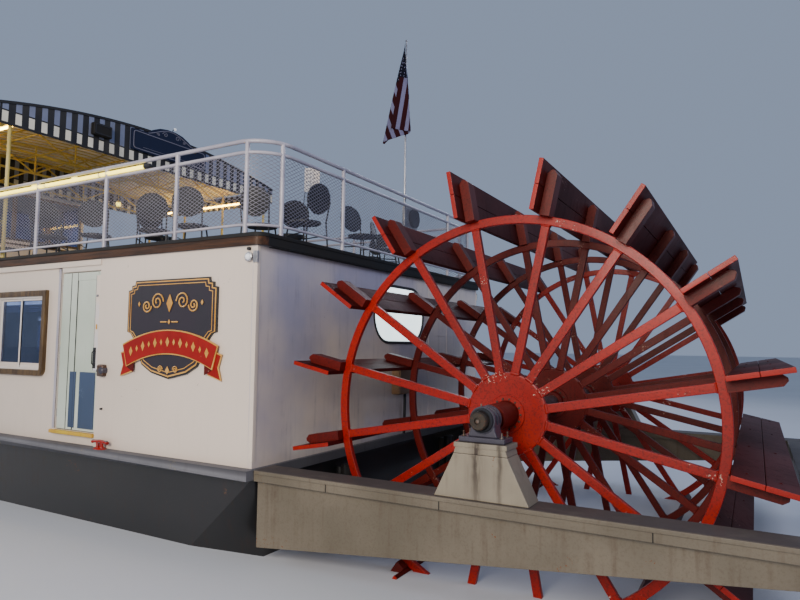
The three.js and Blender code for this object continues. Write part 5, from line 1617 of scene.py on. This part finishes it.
class BOAT_OT_stacks(bpy.types.Operator):
    """Builds the two smokestacks with their flared crowns"""
    bl_idname = "boat.stacks"
    bl_label = "Smokestacks"

    def execute(self, context):
        profile = [(0, 4.163), (0.23, 4.163), (0.23, 4.195), (0.19, 4.21), (0.165, 4.25), (0.16, 4.3), (0.16, 5.4),
                   (0.168, 5.405), (0.168, 5.45), (0.16, 5.455), (0.16, 6.7), (0.168, 6.705), (0.168, 6.75),
                   (0.16, 6.755), (0.16, 7.86), (0.178, 7.87), (0.178, 7.905), (0.162, 7.92), (0.175, 8.0),
                   (0.205, 8.1), (0.222, 8.16), (0.222, 8.175),
                   (0.195, 8.175), (0.16, 8.05), (0.135, 7.95), (0.135, 7.7), (0, 7.7)]
        parts = [turned(profile, steps=48)]
        lean = (Matrix.Translation((0, -0.218, 8.14)) @ Matrix.Rotation(math.radians(11), 4, "X")
                @ Matrix.Translation((0, 0, -8.14)))
        for k in range(16):
            leaf = plate([(-0.04, 8.14), (0.04, 8.14), (0.03, 8.24), (0.0, 8.345), (-0.03, 8.24)], "Y", -0.003, 0.003)
            leaf.data.transform(Matrix.Rotation(math.radians(22.5 * k), 4, "Z") @ lean)
            parts.append(soft(leaf, 0.0015, 1))
        spots = arc((0, 0), 0.21, 20, 335, 7)
        whole = joined(painted("stack_black", *parts) + [bolt(0.012, 0.012, (x, y, 4.194)) for x, y in spots])
        for sign, side in SIDES:
            piece(placed(copied(whole), 5.88, sign * 1.7), f"stack_{side}",
                  stands_for=(f"smokestack_{side}",))
        discard(whole)
        return {"FINISHED"}


class BOAT_OT_flag(bpy.types.Operator):
    """Builds the flagstaff and drapes the flag on it"""
    bl_idname = "boat.flag"
    bl_label = "Flag"

    def execute(self, context):
        x, y = -5.235, -0.27
        staff = done(turned([(0, 7.58), (0.012, 7.578), (0.021, 7.57), (0.021, 7.56), (0.01, 7.554), (0.0125, 7.55),
                             (0.016, 5.3),
                             (0.018, UPPER + 0.01), (0.04, UPPER + 0.008), (0.04, UPPER + 0.001), (0, UPPER + 0.001)],
                            (x, y, 0), "Z", 20), "alloy")
        piece(staff, "flag_pole", stands_for=("flagstaff",))
        ob = self.drape(x, y)
        return {"FINISHED"}

    def drape(self, x, y):
        """Limp cloth: folds that fan out from the top of the hoist, settled under their weight."""
        hoist, fly, top = 0.85, 1.35, 7.54
        wind = Vector((0.87, 0.49, 0)).normalized()
        forward = Vector((-wind.y, wind.x, 0))
        fan = fold_line(math.pi / 2, 0.225, -0.085)
        ob = grid_sheet(54, 34)

        def place(u, v):
            out, down = fly * u, hoist * (1 - v)
            a, b = fan(math.atan2(out, down))
            way = wind * a + forward * b + Vector((0, 0, -math.sqrt(1 - a * a - b * b)))
            return tuple(Vector((x, y, top)) + wind * 0.02 + way * math.hypot(out, down))

        edge = [v.index for v in ob.data.vertices if v.co.x < 0.001]
        shaped(ob, place)
        ob.vertex_groups.new(name="hoist").add(edge, 1.0, "REPLACE")
        only(ob)
        bpy.ops.object.modifier_add(type="CLOTH")
        cloth = ob.modifiers[-1]
        cloth.settings.vertex_group_mass = "hoist"
        cloth.settings.quality = 8
        cloth.settings.mass = 0.15
        cloth.settings.tension_stiffness = cloth.settings.compression_stiffness = 20
        cloth.settings.shear_stiffness = 5
        cloth.settings.bending_stiffness = 0.3
        cloth.settings.air_damping = 4
        scene = bpy.context.scene
        gravity = tuple(scene.gravity)
        scene.gravity = (0.5, 0.28, -9.8)
        cloth.point_cache.frame_start, cloth.point_cache.frame_end = 1, 60
        for k in range(1, 31):
            scene.frame_set(k)
        bpy.ops.object.modifier_apply(modifier=cloth.name)
        scene.gravity = gravity
        scene.frame_set(1)
        modified(ob, "SUBSURF", levels=1, render_levels=1)
        modified(ob, "SOLIDIFY", thickness=0.0015, offset=0)
        return piece(done(ob, "flag_bunting"), "flag_drape", stands_for=("flag",), smooth=180)


def fold_line(turn, wide, back):
    """Sweeps out and back between two slants, each layer nearer the front; gives the slant for an angle."""
    points, runs = [(0.0, 0.0)], [0.0]
    while runs[-1] < turn:
        k = len(points)
        spot = (back if k % 2 else wide, 0.022 + 0.027 * k)
        runs.append(runs[-1] + math.dist(points[-1], spot))
        points.append(spot)

    def slant(angle):
        j = max(i for i, run in enumerate(runs[:-1]) if run <= angle + 1e-9)
        t = (angle - runs[j]) / (runs[j + 1] - runs[j])
        return tuple(p + (q - p) * t for p, q in zip(points[j], points[j + 1]))

    return slant


def chair():
    """Small deck chair: round seat and round back in hoops, on four splayed legs."""
    seat = turned([(0, 0.455), (0.17, 0.455), (0.195, 0.448), (0.2, 0.435), (0.19, 0.425), (0, 0.425)])
    ring = turned([(0.192, 0.42), (0.212, 0.42), (0.212, 0.445), (0.192, 0.445)], loop=True)
    lean = Matrix.Translation((-0.235, 0, 0.72)) @ Matrix.Rotation(math.radians(-10), 4, "Y")
    back = turned([(0, 0.009), (0.12, 0.008), (0.185, 0.005), (0.19, -0.004), (0.12, -0.007), (0, -0.008)], axis="X")
    hoop = turned([(0.188, -0.011), (0.21, -0.011), (0.21, 0.011), (0.188, 0.011)], (0, 0, 0), "X", 32, True)
    parts = [seat, ring]
    for part in (back, soft(hoop, 0.004)):
        part.data.transform(lean @ Matrix.Diagonal((1, 1, 0.94, 1)))
        parts.append(part)
    for sy in (1, -1):
        parts += [pipe([(0.14, sy * 0.14, 0.43), (0.21, sy * 0.19, 0.0)], 0.011, 2),
                  pipe([(-0.25, sy * 0.2, 0.72), (-0.2, sy * 0.185, 0.45), (-0.23, sy * 0.2, 0.0)], 0.011, 2),
                  pipe([(0.165, sy * 0.155, 0.26), (-0.205, sy * 0.185, 0.28)], 0.008, 2)]
    return joined(painted("plastic_dark", *parts))


def placard():
    """White card with rows of punched dots that hangs on a chair's back, facing the stern quarter."""
    card = done(block(-0.006, 0.006, -0.095, 0.095, 0.8, 1.11, 0.003), "plastic_white")
    links = [pipe([(0, sy * 0.085, 0.81), (0.03, sy * 0.1, 0.62)], 0.005, 2) for sy in (1, -1)]
    dots = [turned([(0, 0.009), (0.007, 0.009), (0.007, -0.009), (0, -0.009)],
                   (0, -0.066 + 0.044 * i, 0.83 + 0.05 * j), "X", 8)
            for i in range(4) for j in range(6)]
    return joined([card, *painted("plastic_dark", *links, *dots)])


class BOAT_OT_furniture(bpy.types.Operator):
    """Builds the chairs and small fittings of the upper deck"""
    bl_idname = "boat.furniture"
    bl_label = "Deck furniture"

    def execute(self, context):
        seat = chair()
        spots = [(-4.626, 1.28, -5), (-3.8, 0.55, -40), (-3.95, 1.35, -70), (-4.75, 0.1, 170), (-3.1, 1.75, -60),
                 (-2.35, 1.75, -50), (-1.9, 1.3, -75), (-1.2, 1.86, -45), (-0.5, 2.1, -60), (-4.4, -1.2, 200),
                 (-3.6, -1.9, 80), (-2.2, -1.7, 150), (-1.1, -2.0, 320), (0.5, 1.6, 60), (1.6, -1.5, 130),
                 (1.5, 1.7, 200), (2.6, -1.6, 10)]
        for k, (x, y, turn) in enumerate(spots):
            piece(placed(copied(seat), x, y, UPPER + 0.001, turn), f"chair_{k + 1:02d}")
        discard(seat)
        piece(placed(placard(), -4.8, 1.37, UPPER + 0.001, 125), "chair_card")
        middle, high = -0.53, 4.94
        box = block(-5.21, -5.16, middle - 0.2, middle + 0.2, high - 0.14, high + 0.14, 0.008, 3)
        mouth = middle - 0.05
        rim = turned([(0.03, 0.04), (0.14, 0.04), (0.14, 0.0), (0.03, 0.0)], (-5.25, mouth, high), "X", 28, True)
        cone = turned([(0, 0.012), (0.06, 0.006), (0.13, 0.014), (0.13, 0), (0, 0)], (-5.242, mouth, high), "X", 28)
        piece([done(box, "lamp_body"), done(rim, "gasket_black"), done(cone, "plastic_dark")], "deck_horn")
        return {"FINISHED"}


# Stage

class BOAT_OT_stage(bpy.types.Operator):
    """Sets the floor at the waterline, the soft lights, the pale backdrop and the camera"""
    bl_idname = "boat.stage"
    bl_label = "Stage"

    def execute(self, context):
        only()
        bpy.ops.mesh.primitive_plane_add(size=400, location=(0, 0, WATERLINE))
        floor = bpy.context.object
        floor.name = "floor"
        mat, net, finish, shader = material("floor_pale", group("paint", paint_group), {
            "Paint": rgba("#C9CCD2"), "Faded": rgba("#C4C7CD"), "Grime": rgba("#B8BAC0"), "Streaks": 0.1,
            "Roughness": 0.75, "Mottle": 0.2}, bump=0.02)
        floor.data.materials.append(mat)
        world = bpy.data.worlds.new("pale_room")
        context.scene.world = world
        world.use_nodes = True
        world.node_tree.nodes["Background"].inputs[0].default_value = (0.5, 0.62, 0.86, 1)
        world.node_tree.nodes["Background"].inputs[1].default_value = 0.5
        for name, place, aim, size, power, tint in (
                ("key", (-8, 15, 7), (-5, 2, 2.6), 5, 1900, (1, 0.9, 0.78)),
                ("sky_fill", (-20, -4, 14), (-7, 0, 3), 9, 900, (0.62, 0.7, 1)),
                ("bow_fill", (18, 12, 12), (3, 0, 3), 9, 1500, (1, 0.94, 0.86)),
                ("star_fill", (4, -20, 12), (2, 0, 3), 10, 1700, (0.86, 0.9, 1))):
            self.lamp(name, Vector(place), Vector(aim), size, power, tint)
        self.camera(context)
        return {"FINISHED"}

    def lamp(self, name, place, aim, size, power, tint):
        bpy.ops.object.light_add(type="AREA", location=place)
        lamp = bpy.context.object
        lamp.name = name
        lamp.rotation_euler = (aim - place).to_track_quat("-Z", "Y").to_euler()
        lamp.data.size = size
        lamp.data.energy = power
        lamp.data.color = tint

    def camera(self, context):
        """The photograph's viewpoint: 800 by 600 with a focal length of 627.6 pixels."""
        yaw, pitch, roll = 0.5155, 0.0717, 0.0121
        forward = Vector((math.sin(yaw) * math.cos(pitch), -math.cos(yaw) * math.cos(pitch), math.sin(pitch)))
        right = forward.cross(Vector((0, 0, 1))).normalized()
        up = right.cross(forward)
        turned_right = right * math.cos(roll) + up * math.sin(roll)
        turned_up = -right * math.sin(roll) + up * math.cos(roll)
        data = bpy.data.cameras.new("view")
        data.sensor_width = 36
        data.lens = 36 * 627.6 / 800
        data.clip_end = 500
        camera = bpy.data.objects.new("view", data)
        context.scene.collection.objects.link(camera)
        turn = Matrix((turned_right, turned_up, -forward)).transposed().to_4x4()
        camera.matrix_world = Matrix.Translation((-9.656, 7.639, 3.041)) @ turn
        context.scene.camera = camera


STEPS = (BOAT_OT_stage, BOAT_OT_hull, BOAT_OT_fantail, BOAT_OT_wheel, BOAT_OT_cabin, BOAT_OT_doors, BOAT_OT_upper_deck,
         BOAT_OT_rails, BOAT_OT_bow, BOAT_OT_canopy, BOAT_OT_pilothouse, BOAT_OT_sign, BOAT_OT_stacks, BOAT_OT_flag,
         BOAT_OT_furniture)


class BOAT_PT_panel(bpy.types.Panel):
    """Lists the boat's builders, colours and sizes"""
    bl_idname = "BOAT_PT_panel"
    bl_label = "Sternwheel boat"
    bl_space_type = "VIEW_3D"
    bl_region_type = "UI"
    bl_category = "Boat"

    def draw(self, context):
        for step in STEPS:
            self.layout.operator(step.bl_idname)
        for settings in (context.scene.boat_colours, context.scene.boat_sizes):
            for name in settings.__annotations__:
                self.layout.prop(settings, name)


CLASSES = (BoatColours, BoatSizes, *STEPS, BOAT_PT_panel)


def register():
    for cls in CLASSES:
        bpy.utils.register_class(cls)
    bpy.types.Scene.boat_colours = bpy.props.PointerProperty(type=BoatColours)
    bpy.types.Scene.boat_sizes = bpy.props.PointerProperty(type=BoatSizes)


def unregister():
    del bpy.types.Scene.boat_sizes
    del bpy.types.Scene.boat_colours
    for cls in reversed(CLASSES):
        bpy.utils.unregister_class(cls)


def main():
    register()
    for step in STEPS:
        area, verb = step.bl_idname.split(".")
        if getattr(getattr(bpy.ops, area), verb)() != {"FINISHED"}:
            raise RuntimeError(f"{step.bl_idname} did not finish")


if __name__ == "__main__":
    main()
